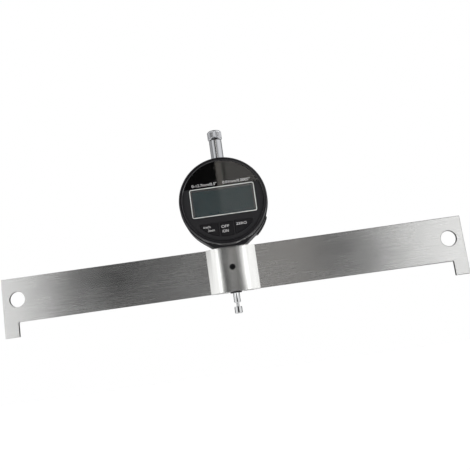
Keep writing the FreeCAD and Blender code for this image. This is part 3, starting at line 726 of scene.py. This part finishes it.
def lettering(text: str, box: Box, front: float) -> Mesh:
    """Flat letters on the indicator's face, made to fill a box.

    Args:
        text: what they say.
        box: left, low, right and high of the letters, from the dial's centre, in millimetres.
        front: how far forward of the spindle's axis the surface is.

    Returns:
        The mesh, in metres.
    """
    half_ink, lift = 0.01, 0.012
    curve = bpy.data.curves.new(text, "FONT")
    curve.body = text
    curve.extrude = half_ink
    mesh = baked(shown("text", curve))
    across = [v.co.x for v in mesh.vertices]
    upward = [v.co.y for v in mesh.vertices]
    left, low, right, high = box
    wide = (right - left) / (max(across) - min(across))
    tall = (high - low) / (max(upward) - min(upward))
    mesh.transform(Matrix.Translation((-min(across), -min(upward), 0)))
    mesh.transform(Matrix.Diagonal((wide * MM, tall * MM, MM, 1)))
    mesh.transform(Matrix.Translation((left * MM, low * MM, (front + lift) * MM)))
    return edited(faced(mesh, DIAL), joined_up)


# Geometry trees


def new_tree(name: str, inputs: dict[str, str]) -> tuple[NodeTree, Sockets]:
    """An empty geometry tree.

    Args:
        name: the tree's name.
        inputs: each input's name and the kind of its socket, such as Float.

    Returns:
        The tree, and what comes in, by name.
    """
    tree = bpy.data.node_groups.new(name, "GeometryNodeTree")
    for word, kind in ({"Geometry": "Geometry"} | inputs).items():
        tree.interface.new_socket(word, in_out="INPUT", socket_type=f"NodeSocket{kind}")
    tree.interface.new_socket("Geometry", in_out="OUTPUT", socket_type="NodeSocketGeometry")
    return tree, add_node(tree, "NodeGroupInput").outputs


def end_tree(tree: NodeTree, shape: Node, material: NodeSocket) -> None:
    """End a geometry tree in real meshes with a material.

    Args:
        tree: the tree.
        shape: the node whose geometry it gives.
        material: the input that brings the material.
    """
    real = add_node(tree, "GeometryNodeRealizeInstances", {"Geometry": shape})
    named = add_node(tree, "GeometryNodeSetMaterial", {"Geometry": real, "Material": material})
    add_node(tree, "NodeGroupOutput", {"Geometry": named})


def grown(mesh: Mesh, tree: NodeTree, values: dict[str, object]) -> Mesh:
    """Run a geometry tree on a mesh, and keep the result as a plain mesh.

    Args:
        mesh: what goes into the tree.
        tree: the tree.
        values: the tree's other inputs, by name.

    Returns:
        The result.
    """
    solid = shown("solid", mesh)
    modifier = solid.modifiers.new("grow", "NODES")
    modifier.node_group = tree
    for item in tree.interface.items_tree:
        if item.name in values:
            modifier[item.identifier] = values[item.name]
    return baked(solid)


def knurl_tree() -> NodeTree:
    """Make a tree that rolls straight ridges into a turned piece's side.

    Returns:
        The tree.
    """
    tree, given = new_tree("straight_knurl", {
        "Ridges": "Float", "Depth": "Float", "Low": "Float", "High": "Float", "Fade": "Float",
        "Material": "Material"})
    place = add_node(tree, "GeometryNodeInputPosition")
    parts = add_node(tree, "ShaderNodeSeparateXYZ", {0: place}).outputs
    angle = add_node(tree, "ShaderNodeMath", {0: parts["Y"], 1: parts["X"]}, operation="ARCTAN2")
    turns = add_node(tree, "ShaderNodeMath", {0: angle, 1: 2 * math.pi}, operation="DIVIDE")
    ridges = add_node(tree, "ShaderNodeMath", {0: turns, 1: given["Ridges"]}, operation="MULTIPLY")
    groove = add_node(tree, "ShaderNodeMath", {0: ridges, 1: 0.5}, operation="PINGPONG")
    # Outwards is up, so a groove goes down. At both ends the ridges run out.
    cut_in = add_node(tree, "ShaderNodeMath", {0: groove, 1: -2.0}, operation="MULTIPLY")
    cut_in = add_node(tree, "ShaderNodeMath", {0: cut_in, 1: given["Depth"]}, operation="MULTIPLY")
    for end, inwards in ((given["Low"], "ADD"), (given["High"], "SUBTRACT")):
        full = add_node(tree, "ShaderNodeMath", {0: end, 1: given["Fade"]}, operation=inwards)
        inputs = {"Value": parts["Z"], "From Min": end, "From Max": full}
        share = add_node(tree, "ShaderNodeMapRange", inputs, interpolation_type="SMOOTHSTEP")
        cut_in = add_node(tree, "ShaderNodeMath", {0: cut_in, 1: share}, operation="MULTIPLY")
    flat = add_node(tree, "ShaderNodeCombineXYZ", {"X": parts["X"], "Y": parts["Y"]})
    outward = add_node(tree, "ShaderNodeVectorMath", {0: flat}, operation="NORMALIZE")
    shift = add_node(tree, "ShaderNodeVectorMath", {0: outward, "Scale": cut_in}, operation="SCALE")
    moved = add_node(tree, "GeometryNodeSetPosition", {"Geometry": given["Geometry"], "Offset": shift})
    end_tree(tree, moved, given["Material"])
    return tree


def screw_tree() -> NodeTree:
    """Make a tree that sets a screw at even steps round a circle, each driven to its own angle.

    Returns:
        The tree.
    """
    tree, given = new_tree("cover_screw_circle", {
        "Count": "Int", "Radius": "Float", "First": "Float", "Seat": "Float", "Centre": "Float",
        "Material": "Material"})
    points = add_node(tree, "GeometryNodePoints", {"Count": given["Count"]})
    index = add_node(tree, "GeometryNodeInputIndex")
    step = add_node(tree, "ShaderNodeMath", {0: 2 * math.pi, 1: given["Count"]}, operation="DIVIDE")
    turn = add_node(tree, "ShaderNodeMath", {0: index, 1: step, 2: given["First"]}, operation="MULTIPLY_ADD")
    spot = {"Y": given["Seat"]}
    for axis, wave, middle in (("X", "COSINE", 0.0), ("Z", "SINE", given["Centre"])):
        share = add_node(tree, "ShaderNodeMath", {0: turn}, operation=wave)
        inputs = {0: share, 1: given["Radius"], 2: middle}
        spot[axis] = add_node(tree, "ShaderNodeMath", inputs, operation="MULTIPLY_ADD")
    place = add_node(tree, "ShaderNodeCombineXYZ", spot)
    placed = add_node(tree, "GeometryNodeSetPosition", {"Geometry": points, "Position": place})
    inputs = {"Min": (-math.pi / 2, 0.0, 0.0), "Max": (-math.pi / 2, 1.5, 0.0), "Seed": 7}
    driven = add_node(tree, "FunctionNodeRandomValue", inputs, data_type="FLOAT_VECTOR")
    inputs = {"Points": placed, "Instance": given["Geometry"], "Rotation": driven}
    end_tree(tree, add_node(tree, "GeometryNodeInstanceOnPoints", inputs), given["Material"])
    return tree


# Sub-assemblies


@dataclass
class Beam:
    """The two arms: flat plates with a foot and a hanging hole at the outer end."""

    half: float = reach("right_arm", "X")[1]
    inner: float = reach("right_arm", "X")[0]
    bottom: float = reach("hub", "Z")[0]
    top: float = reach("right_arm", "Z")[1]
    foot: float = reach("right_arm", "Z")[0]
    leg: float = 9.5
    corner: float = 1.0
    thickness: float = 2.0
    hole_radius: float = 5.2
    hole_inset: float = 9.9
    hole_rise: float = 15.2
    edge: float = 0.5

    def outline(self, side: int) -> Loop:
        """An arm's outline, seen from the front.

        Args:
            side: 1 for the right arm and -1 for the left.

        Returns:
            Its corners, in millimetres.
        """
        leg = self.half - self.leg
        bend = arc(leg - self.corner, self.bottom - self.corner, self.corner, 90, 0, 6)
        loop = [(self.inner, self.bottom)] + bend + [(leg, self.foot), (self.half, self.foot),
                                                     (self.half, self.top), (self.inner, self.top)]
        return [(side * across, up) for across, up in loop]

    def build(self) -> None:
        """Make and dress both arms."""
        for name, side in (("left_arm", -1), ("right_arm", 1)):
            middle = side * (self.half - self.hole_inset)
            loops = [self.outline(side), ring_of(self.hole_radius, middle, self.bottom + self.hole_rise)]
            mesh = eased(faced(plate(loops, -self.thickness / 2, self.thickness / 2)), self.edge)
            self.brush(mesh)
            piece = fitted(f"{name}_plate", mesh, PLATE, Slot.PLATE, name)
            piece.data.materials.append(EDGE_AND_SHADE.make())
            for face in piece.data.polygons:
                # The faces across the thickness are cut, and only the outer end is brushed too; the cut's
                # dark colour is also painted shade.
                face.material_index = int(abs(face.normal.y) < 0.97 and face.normal.x * side < 0.5)

    def brush(self, mesh: Mesh) -> None:
        """Lay the plate's own coordinates: U across the brushing, V along it.

        Args:
            mesh: the finished plate.
        """
        layer = mesh.uv_layers.new(name="Brushing")
        for loop in mesh.loops:
            place = mesh.vertices[loop.vertex_index].co
            layer.uv[loop.index].vector = (place.z * 10 + place.y * 3, place.x * 10)


@dataclass
class Hub:
    """The middle block, its grub screw and the black collar under it."""

    half: float = 16.5
    depth: float = 15.0
    edge: float = 5.4
    crown_half: float = 8.0
    crown_radius: float = 54.0
    bottom: float = reach("hub", "Z")[0]
    top: float = reach("hub", "Z")[1]
    bore: float = 4.02
    slot_depth: float = 4.0
    slot_half: float = 1.05
    screw_rise: float = 16.1
    screw_radius: float = 2.0
    screw_front: float = 7.2
    screw_back: float = 4.0
    socket: float = 2.0
    socket_floor: float = 5.6
    collar_low: float = reach("hub_bush", "Z")[0]
    collar_bore: float = 2.9
    collar_radius: float = 3.85
    collar_seat: float = 3.98
    collar_depth: float = 8.0

    def plan(self) -> Loop:
        """The block's outline from above: a wide arch with tighter flanks, front and back.

        Returns:
            The points round it, in millimetres.
        """
        rim = math.sqrt(self.crown_radius ** 2 - self.crown_half ** 2)
        crown_y = self.depth / 2 - self.crown_radius + rim
        run, fall = self.half - self.crown_half, crown_y - self.edge / 2
        flank = (run ** 2 + fall ** 2) * self.crown_radius / (2 * (fall * rim - run * self.crown_half))
        lean = math.degrees(math.asin(self.crown_half / self.crown_radius))
        share = 1 - flank / self.crown_radius
        centre = (self.crown_half * share, crown_y - flank * rim / self.crown_radius)
        start = math.degrees(math.atan2(self.edge / 2 - centre[1], self.half - centre[0]))
        right = arc(centre[0], centre[1], flank, start, 90 - lean, 20)
        crown = arc(0, self.depth / 2 - self.crown_radius, self.crown_radius, 90 - lean, 90, 8)
        quarter = right + crown[1:]
        front = quarter + [(-x, y) for x, y in reversed(quarter[:-1])]
        return front + [(-x, -y) for x, y in front]

    def build(self) -> None:
        """Make and dress the block, its screw and its collar."""
        block = plate([self.plan(), ring_of(self.bore, steps=64)], self.bottom, self.top)
        for side in (1, -1):
            near, far, wall = side * (self.half - self.slot_depth), side * (self.half + 2), self.slot_half
            loop = [(near, -wall), (far, -wall), (far, wall), (near, wall)]
            block = cut(block, plate([loop], self.bottom - 1, self.top + 1))
        drill = plate([ring_of(self.screw_radius, 0, self.bottom + self.screw_rise, 48)], 0, self.depth)
        block = edited(cut(block, faced(drill)), joined_up)
        fitted("hub_block", eased(block, 0.18), BLOCK, Slot.HUB, "hub")
        self.screw()
        self.collar()

    def screw(self) -> None:
        """The hexagon-socket grub screw in the block's front."""
        radius, back, front = self.screw_radius - 0.05, self.screw_back, self.screw_front
        cone = [(radius, front - 0.3), (radius - 0.3, front)]
        blank = lathe([(0, back), (radius, back)] + cone + [(0, front)], 48)
        key = plate([ring_of(self.socket / math.sqrt(3), steps=6)], self.socket_floor, front + 0.8)
        mesh = faced(eased(cut(blank, key), 0.06), self.bottom + self.screw_rise)
        fitted("clamp_grub_screw", mesh, OXIDE, Slot.BLACKENED, "clamp_screw")

    def collar(self) -> None:
        """The collar that the spindle comes out of."""
        low, bore, radius, seat = self.collar_low, self.collar_bore, self.collar_radius, self.collar_seat
        floor, top = self.bottom, self.bottom + self.collar_depth
        mesh = lathe([(bore, low), (radius, low), (radius, floor), (seat, floor + 0.1), (seat, top),
                      (bore, top)], 96)
        fitted("spindle_collar", eased(mesh, 0.12), OXIDE, Slot.BLACKENED, "hub_bush")


@dataclass
class Spindle:
    """What moves up and down: the rod, its contact point and its knurled cap."""

    radius: float = 2.2
    bottom: float = reach("spindle", "Z")[0]
    shoulder: float = reach("lifting_knob", "Z")[0]
    top: float = reach("lifting_knob", "Z")[1]
    stub_radius: float = 1.25
    stub: float = 5.0
    cap_radius: float = 4.9
    cap_bevel: float = 0.7
    rows: int = 40
    ridges: float = 30.0
    ridge_depth: float = 0.25

    def build(self) -> None:
        """Make and dress the rod, the tip and the cap."""
        floor, stub = self.bottom + self.stub + 0.05, self.stub_radius
        rod = [(0, floor), (stub, floor), (stub, self.bottom), (self.radius - 0.35, self.bottom),
               (self.radius, self.bottom + 0.45), (self.radius, self.shoulder), (stub, self.shoulder),
               (stub, self.shoulder + self.stub), (0, self.shoulder + self.stub)]
        # The tip's head, its neck, and the shank in the rod, up from the flat that touches.
        tip = [(0, 0), (2.2, 0), (2.55, 0.35), (2.55, 4.3), (2.35, 4.5), (1.1, 4.5), (1.0, 4.62), (1.0, 7.1),
               (1.2, 7.1), (1.2, 12.1), (0, 12.1)]
        for name, profile, edge, node in (
                ("spindle_rod", rod, 0.06, "spindle"), ("contact_tip", tip, 0.08, "contact_point")):
            fitted(name, eased(lathe(profile, 64), edge), GROUND, Slot.BRIGHT, node, body=Body.SPINDLE)
        self.cap()

    def cap(self) -> None:
        """The cap: a turned blank with a straight knurl rolled into its side."""
        low, high = self.shoulder + self.cap_bevel, self.top - self.cap_bevel
        flat, hole = self.cap_radius - self.cap_bevel, self.stub_radius + 0.05
        floor = self.shoulder + self.stub + 0.1
        side = [(self.cap_radius, low + (high - low) * row / self.rows) for row in range(self.rows + 1)]
        blank = lathe([(hole, self.shoulder), (flat, self.shoulder)] + side
                      + [(flat, self.top), (0, self.top), (0, floor), (hole, floor)], 256)
        mesh = grown(blank, knurl_tree(), {
            "Ridges": self.ridges, "Depth": self.ridge_depth * MM, "Low": (low + 0.2) * MM,
            "High": (high - 0.2) * MM, "Fade": 0.5 * MM, "Material": KNURLED.make()})
        mesh.shade_smooth()
        mesh.set_sharp_from_angle(angle=math.radians(30))
        fitted("lifting_cap", mesh, KNURLED, Slot.BRIGHT, "lifting_knob", body=Body.SPINDLE)


@dataclass
class Case:
    """The indicator's housing, its rear cover, its drawer, and the tube above it."""

    bezel_radius: float = 29.0
    bore: float = 27.6
    bezel_back: float = 9.5
    bezel_front: float = 18.0
    bezel_bend: float = 0.9
    lip: float = 1.6
    lip_edge: float = 0.45
    cover_back: float = 9.8
    screw_circle: float = 27.4
    screw_head: float = 1.6
    screw_first: float = 50.0
    screws: int = 3
    cross_half: float = 0.95
    cross_bar: float = 0.22
    cross_floor: float = 0.35
    sleeve: Point = reach("upper_sleeve", "Z")
    sleeve_bore: float = reach("upper_bush", "X")[1] + 0.02
    sleeve_radius: float = 4.35
    flange_radius: float = 5.5
    flange: float = 1.2
    travel: float = 12.7

    def build(self) -> None:
        """Make and dress the housing from the back to the front."""
        # The moulded pieces have their edges eased as the tool leaves them.
        for name, node, edge, body in (
                ("case_shell", "rear_case", 0.35, Body.GAUGE),
                ("cover_plate", "back_cover", 0.2, Body.GAUGE),
                ("drawer_tray", "cell_drawer", 0.25, Body.DRAWER)):
            fitted(name, eased(from_frame(node), edge), CASE, Slot.MOULDING, node, body=body)
        self.bezel()
        self.cover_screws()
        self.tube()
        self.spring()

    def spring(self) -> None:
        """The return spring, whose upper end is fixed, in its imported shape with a mesh of its own."""
        coil = fitted("return_coil", from_frame("return_spring"), GROUND, Slot.BRIGHT, "return_spring")
        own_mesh(coil)

    def bezel(self) -> None:
        """The front ring: a cup with a rolled front edge and a lip over the face panel."""
        front, bend, edge = self.bezel_front, self.bezel_bend, self.lip_edge
        rolled = arc(self.bezel_radius - bend, front - bend, bend, 0, 90, 6)
        profile = ([(self.bore, self.bezel_back), (self.bezel_radius, self.bezel_back)] + rolled
                   + [(LIP_BORE + edge, front), (LIP_BORE, front - edge), (LIP_BORE, front - self.lip),
                      (self.bore, front - self.lip)])
        mesh = faced(eased(lathe(profile, 192), 0.12), DIAL)
        fitted("bezel_cup", mesh, GLOSS, Slot.MOULDING, "bezel_ring")

    def cover_screws(self) -> None:
        """Pan-head screws with a cross recess, round the cover."""
        shank, depth = 1.0, -7.2
        head = lathe([(0, depth), (shank, depth), (shank, 0), (self.screw_head, 0), (self.screw_head, 0.45),
                      (1.45, 0.75), (1.1, 0.94), (0.6, 1.0), (0, 1.0)], 32)
        for wide, tall in ((self.cross_half, self.cross_bar), (self.cross_bar, self.cross_half)):
            bar = [(-wide, -tall), (wide, -tall), (wide, tall), (-wide, tall)]
            head = cut(head, plate([bar], self.cross_floor, 2))
        mesh = grown(eased(head, 0.05), screw_tree(), {
            "Count": self.screws, "Radius": self.screw_circle * MM, "First": math.radians(self.screw_first),
            "Seat": self.cover_back * MM, "Centre": DIAL * MM, "Material": OXIDE.make()})
        fitted("cover_screws", mesh, OXIDE, Slot.BLACKENED, "back_screws")

    def tube(self) -> None:
        """The bright tube between the case and the cap, with its flange inside the case."""
        (low, high), step, rim = self.sleeve, self.sleeve[0] + self.flange, 0.4
        bore, radius, wide = self.sleeve_bore, self.sleeve_radius, self.flange_radius
        mesh = lathe([(bore, low), (wide, low), (wide, step), (radius, step), (radius, high - rim),
                      (radius - rim, high), (bore, high)], 96)
        fitted("upper_tube", eased(mesh, 0.08), CHROMED, Slot.BRIGHT, "upper_sleeve")


@dataclass(frozen=True)
class Words:
    """Words on the face: their piece's name, what they say, the box that they fill, and their group."""

    name: str
    text: str
    box: Box
    body: Body = Body.GAUGE


@dataclass
class Face:
    """The front of the indicator: panel, pane, display, trim, keys and words."""

    front: float = -reach("face_panel", "Y")[0]
    key_front: float = -reach("key_power", "Y")[0]
    pane_gap: float = 0.08
    pane_thickness: float = 1.2
    half: float = reach("lcd_frame", "X")[1]
    low: float = reach("lcd_frame", "Z")[0] - DIAL
    high: float = reach("lcd_frame", "Z")[1] - DIAL
    line: float = 0.52
    bend: float = 1.3
    gasket_and_shade: float = 1.0
    gasket_and_shade_foot: float = 0.3
    gasket_and_shade_height: float = 0.9
    words: tuple[Words, ...] = (
        Words("range_left", "0-12.7mm/0.5\"", (-19.2, 10.9, -2.8, 12.8)),
        Words("range_right", "0.01mm/0.0005\"", (1.2, 11.0, 19.2, 12.9)),
        Words("word_inch", "inch", (-15.0, -17.1, -10.5, -15.6), Body.UNIT),
        Words("word_mm", "/mm", (-12.5, -19.6, -8.0, -18.0), Body.UNIT),
        Words("word_off", "OFF", (-3.4, -18.1, 1.6, -16.4), Body.POWER),
        Words("word_on", "/ON", (-3.4, -21.2, 0.8, -19.4), Body.POWER),
        Words("word_zero", "ZERO", (6.3, -17.5, 13.2, -15.9), Body.ZERO))

    def build(self) -> None:
        """Make and dress the face from the back to the front."""
        self.panel()
        self.pane()
        self.display_edge()
        for node, body in (("key_unit", Body.UNIT), ("key_power", Body.POWER), ("key_zero", Body.ZERO)):
            fitted(f"{node}_cap", eased(from_frame(node), 0.1), RUBBER, Slot.RUBBER, node, body=body)
        for words in self.words:
            front = self.front if words.body is Body.GAUGE else self.key_front
            fitted(words.name, lettering(words.text, words.box, front), INK, Slot.TRIM, body=words.body)

    def crescent(self, radius: float) -> Loop:
        """The round top of the face, above the display.

        Args:
            radius: how far it reaches from the dial's centre.

        Returns:
            The points along its arc, from right to left. A straight line closes it.
        """
        shelf = self.high + 4 * self.pane_gap
        tilt = math.degrees(math.asin(shelf / radius))
        return arc(0, 0, radius, tilt, 180 - tilt, 96)

    def panel(self) -> None:
        """The panel, with its recess for the pane opened out to the bezel's lip."""
        opening = plate([self.crescent(LIP_BORE + 0.5)], self.front - self.pane_thickness, self.front + 1)
        mesh = eased(cut(from_frame("face_panel"), faced(opening, DIAL)), 0.08)
        piece = fitted("face_plate", mesh, PANEL, Slot.MOULDING, "face_panel")
        piece.data.materials.append(BACKING.make())
        floor = (self.pane_thickness - self.front) * MM
        for face in piece.data.polygons:
            # The recess's floor is the black print.
            face.material_index = int(abs(face.center.y - floor) < 0.05 * MM and face.normal.y < -0.9)

    def pane(self) -> None:
        """The pane: a block over the display, and the round top of the face above it."""
        top = self.crescent(LIP_BORE - self.pane_gap)
        half, low, shelf = self.half, self.low, top[0][1]
        loop = [(-half, low), (half, low), (half, shelf)] + top + [(-half, shelf)]
        mesh = faced(eased(plate([loop], self.front - self.pane_thickness, self.front), 0.06), DIAL)
        fitted("clear_pane", mesh, PANE, Slot.PANE, "window_pane")

    def display_edge(self) -> None:
        """The thin bright frame round the display, and inside it a black band that is a gasket and also
        painted shade of the display's recess, wider at the top and sides than at the foot.
        """
        half, low, high, line = self.half, self.low, self.high, self.line
        inner = (line - half, low + line, half - line, high - line)
        rings = [rounded_box(-half, low, half, high, self.bend), rounded_box(*inner, self.bend - line)]
        mesh = eased(plate(rings, self.front, -reach("lcd_frame", "Y")[0]), 0.08)
        fitted("display_trim", faced(mesh, DIAL), TRIM, Slot.TRIM, "lcd_frame")
        # The black band is partly a gasket and partly painted shade, where the recess shades the display
        # under the trim's top and sides.
        glass, side = -reach("lcd_glass", "Y")[0], half - line - self.gasket_and_shade
        foot, head = low + line + self.gasket_and_shade_foot, high - line - self.gasket_and_shade
        opening = [(-side, foot), (side, foot), (side, head), (-side, head)]
        ring = plate([rounded_box(*inner, 0.6), opening], glass, glass + self.gasket_and_shade_height)
        fitted("display_gasket_and_painted_shade", faced(ring, DIAL), CHIP, Slot.RUBBER)


@dataclass
class Innards:
    """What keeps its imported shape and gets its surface, nearly all of it inside the case."""

    finishes: dict[str, Finish] = field(default_factory=lambda: {
        "main_board": MASK, "controller_chip": CHIP, "elastomer_strips": RUBBER, "key_mat": RUBBER,
        "cell_clips": COPPER, "button_cell": CELL, "lcd_glass": CRYSTAL, "stem": CHROMED,
        "lower_bush": BRONZE, "upper_bush": BRONZE, "guide_pin": GROUND, "scale_carriage": BRONZE,
        "carriage_screw": OXIDE, "scale_strip": MASK})

    def build(self) -> None:
        """Dress each piece."""
        for node, finish in self.finishes.items():
            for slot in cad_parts[node].material_slots:
                slot.material = finish.make()
            log.info("%s: dressed as %s", node, finish.name)


# Studio


@dataclass(frozen=True)
class Patch:
    """A soft-edged patch of the tent: its edges in degrees, and its brightness in red, green and blue."""

    left: float
    right: float
    low: float
    high: float
    glow: Triple


@dataclass
class Studio:
    """A white background, a light tent with an unlit front and back, a table and a camera."""

    eye: Triple = (0.00447, -0.40165, -0.0074)
    right: Triple = (0.99013, 0.020433, -0.138655)
    up: Triple = (0.140152, -0.145839, 0.97933)
    ahead: Triple = (0.000211, 0.989097, 0.147264)
    lens: float = 45.96
    table_height: float = -0.10
    table_edges: Box = (-0.90, -0.2, 0.90, 0.80)
    table_glow: float = 0.45
    tent_radius: float = 15.0
    brightest: float = 4.0
    # How bright the tent is at each bearing from the front, in degrees towards +X.
    bearings: tuple[Point, ...] = (
        (-180, 0.35), (-125, 0.35), (-105, 1.15), (-40, 1.3), (-27, 2.45), (-21.4, 2.6), (-19.2, 1.4),
        (-17.3, 0.3), (-15.3, 0.05), (-13, 0.0), (-11, 0.02), (-9.2, 0.14), (-7.8, 0.28), (-6.4, 0.38),
        (-3.5, 0.48), (2.2, 0.3), (3.6, 0.14), (7.9, 0.13), (9.3, 0.22), (10.7, 0.24), (12.1, 0.4),
        (13.4, 0.74), (14.8, 1.18), (16.1, 1.7), (17.4, 2.3), (20.2, 3.0), (27, 2.5), (40, 1.3), (105, 1.15),
        (125, 0.35), (180, 0.35))
    # How much of that is left at each height in front, in degrees above the horizon.
    heights: tuple[Point, ...] = (
        (-90, 0.8), (-20, 0.8), (-4, 0.3), (2.2, 0.3), (3.4, 1.6), (5, 1.1), (7.5, 0.48), (12, 0.35),
        (20, 0.2), (60, 0.2), (90, 0.5))
    # The glossy pane shows a black flag on the left, and on the right a warm soft box with a bright edge
    # and a fold. The display shows the soft box's dim foot. Then come the lamp that lights the case's
    # side, and the dark sides that the turned pieces, the bezel and the contact point show.
    patches: tuple[Patch, ...] = (
        Patch(-8.0, -0.95, 9.5, 19.0, (0.06, 0.06, 0.06)),
        Patch(-0.95, 8.0, 13.25, 19.0, (1.45, 1.4, 1.33)),
        Patch(-0.95, -0.45, 13.25, 19.0, (1.9, 1.8, 1.65)),
        Patch(-0.32, 0.02, 13.25, 19.0, (0.85, 0.85, 0.78)),
        Patch(-0.95, 8.0, 9.5, 13.25, (0.53, 0.49, 0.47)),
        Patch(60.0, 110.0, -40.0, -8.0, (7.0, 7.0, 7.0)),
        Patch(-110.0, -60.0, 7.0, 40.0, (0.5, 0.5, 0.5)),
        Patch(112.0, 181.0, -6.0, 6.0, (0.08, 0.08, 0.08)),
        Patch(-24.0, 24.0, -8.0, 2.9, (0.06, 0.06, 0.06)),
        Patch(-181.0, -112.0, -6.0, 6.0, (0.08, 0.08, 0.08)))

    def build(self) -> None:
        """Make the camera, the light and the table."""
        self.camera()
        self.tent()
        self.table()

    def camera(self) -> None:
        """The camera of the photograph: close, low and rolled."""
        data = bpy.data.cameras.new("camera")
        data.lens = self.lens
        data.sensor_width = 36
        data.clip_start = 0.01
        eye = shown("camera", data)
        turn = Matrix((self.right, self.up, [-v for v in self.ahead])).transposed().to_4x4()
        eye.matrix_world = Matrix.Translation(self.eye) @ turn
        bpy.context.scene.camera = eye

    def ramp(self, tree: NodeTree, angle: Node, steps: tuple[Point, ...]) -> Node:
        """Spread a brightness over an angle.

        Args:
            tree: the tent's tree.
            angle: the node that gives the angle, in degrees.
            steps: angles in order, each with the brightness there.

        Returns:
            The brightness, as a share of the tent's brightest.
        """
        first, last = steps[0][0], steps[-1][0]
        share = add_node(tree, "ShaderNodeMapRange", {"Value": angle, "From Min": first, "From Max": last})
        ramp = add_node(tree, "ShaderNodeValToRGB", {"Fac": share})
        stops = ramp.color_ramp.elements
        stops.remove(stops[0])
        for index, (degrees, bright) in enumerate(steps):
            place = (degrees - first) / (last - first)
            stop = stops.new(place) if index else stops[0]
            stop.position = place
            stop.color = (*[bright / self.brightest] * 3, 1)
        return ramp

    def tent(self) -> None:
        """The white background, and round the gauge a tent that only its light and its reflections show."""
        world = bpy.data.worlds.new("white_background")
        bpy.context.scene.world = world
        world.use_nodes = True
        world.node_tree.nodes["Background"].inputs["Color"].default_value = (1, 1, 1, 1)
        material = new_material("lit_tent_cloth")
        tree = material.node_tree
        tree.nodes.clear()
        place = add_node(tree, "ShaderNodeTexCoord").outputs["Object"]
        aim = add_node(tree, "ShaderNodeVectorMath", {0: place}, operation="NORMALIZE")
        parts = add_node(tree, "ShaderNodeSeparateXYZ", {0: aim}).outputs
        front = add_node(tree, "ShaderNodeMath", {0: parts["Y"], 1: -1.0}, operation="MULTIPLY")
        turn = add_node(tree, "ShaderNodeMath", {0: parts["X"], 1: front}, operation="ARCTAN2")
        bearing = add_node(tree, "ShaderNodeMath", {0: turn}, operation="DEGREES")
        lift = add_node(tree, "ShaderNodeMath", {0: parts["Z"]}, operation="ARCSINE")
        height = add_node(tree, "ShaderNodeMath", {0: lift}, operation="DEGREES")
        away = add_node(tree, "ShaderNodeMath", {0: bearing}, operation="ABSOLUTE")
        sector = add_node(tree, "ShaderNodeMapRange", {"Value": away, "From Min": 50.0, "From Max": 25.0})
        around = self.ramp(tree, bearing, self.bearings)
        fall = self.ramp(tree, height, self.heights)
        left = add_node(tree, "ShaderNodeVectorMath", {0: fall, "Scale": self.brightest}, operation="SCALE")
        dimmed = add_node(tree, "ShaderNodeVectorMath", {0: around, 1: left}, operation="MULTIPLY")
        inputs = {0: sector, 6: around, 7: dimmed}
        colour = add_node(tree, "ShaderNodeMix", inputs, data_type="RGBA").outputs[2]
        for patch in self.patches:
            glow = (*[part / self.brightest for part in patch.glow], 1)
            inputs = {0: self.mask(tree, bearing, height, patch), 6: colour, 7: glow}
            colour = add_node(tree, "ShaderNodeMix", inputs, data_type="RGBA").outputs[2]
        light = add_node(tree, "ShaderNodeEmission", {"Color": colour, "Strength": self.brightest})
        add_node(tree, "ShaderNodeOutputMaterial", {"Surface": light})
        mesh = lathe(arc(0, 0, self.tent_radius / MM, -90, 90, 24), 48)
        mesh.materials.append(material)
        tent = shown("light_tent", mesh)
        tent.visible_camera = False
        tent.visible_transmission = False

    def mask(self, tree: NodeTree, bearing: Node, height: Node, patch: Patch) -> Node:
        """Tell where a patch is.

        Args:
            tree: the tent's tree.
            bearing: the node that gives the bearing, in degrees.
            height: the node that gives the height above the horizon, in degrees.
            patch: the patch.

        Returns:
            1 inside the patch and 0 outside, with a soft step between.
        """
        share = None
        for angle, start, end, soft in (
                (bearing, patch.left, patch.right, 0.14), (height, patch.low, patch.high, 0.3)):
            for edge, sign in ((start, 1), (end, -1)):
                inputs = {"Value": angle, "From Min": edge - sign * soft, "From Max": edge + sign * soft}
                side = add_node(tree, "ShaderNodeMapRange", inputs, interpolation_type="SMOOTHSTEP")
                if share:
                    side = add_node(tree, "ShaderNodeMath", {0: share, 1: side}, operation="MULTIPLY")
                share = side
        return share

    def table(self) -> None:
        """A pale table under the gauge, which shows white and keeps a soft shadow."""
        (left, near, right, far), up = self.table_edges, self.table_height
        corners = [(left, near, up), (right, near, up), (right, far, up), (left, far, up)]
        mesh = bpy.data.meshes.new("table")
        mesh.from_pydata(corners, [], [range(4)])
        material = new_material("white_laminate_table")
        tree = material.node_tree
        ray = add_node(tree, "ShaderNodeLightPath").outputs
        seen = ray["Is Camera Ray"]
        for other in ("Is Glossy Ray", "Is Transmission Ray"):
            seen = add_node(tree, "ShaderNodeMath", {0: seen, 1: ray[other]}, operation="MAXIMUM")
        glow = add_node(tree, "ShaderNodeMath", {0: seen, 1: self.table_glow}, operation="MULTIPLY")
        plug(tree, tree.nodes["Principled BSDF"].inputs, {
            "Base Color": linear("#f2f2f2"), "Roughness": 0.9, "Specular IOR Level": 0.0,
            "Emission Color": (1, 1, 1, 1), "Emission Strength": glow})
        mesh.materials.append(material)
        shown("table", mesh)


def main() -> None:
    """Build the gauge and its studio."""
    logging.basicConfig(level=logging.INFO, format="%(name)s %(message)s")
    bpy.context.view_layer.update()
    for part in (Studio(), Beam(), Hub(), Spindle(), Case(), Face(), Innards()):
        log.info("building %s", type(part).__name__)
        part.build()
    bpy.context.scene.view_settings.view_transform = "Standard"
    bpy.context.view_layer.update()


if __name__ == "__main__":
    main()
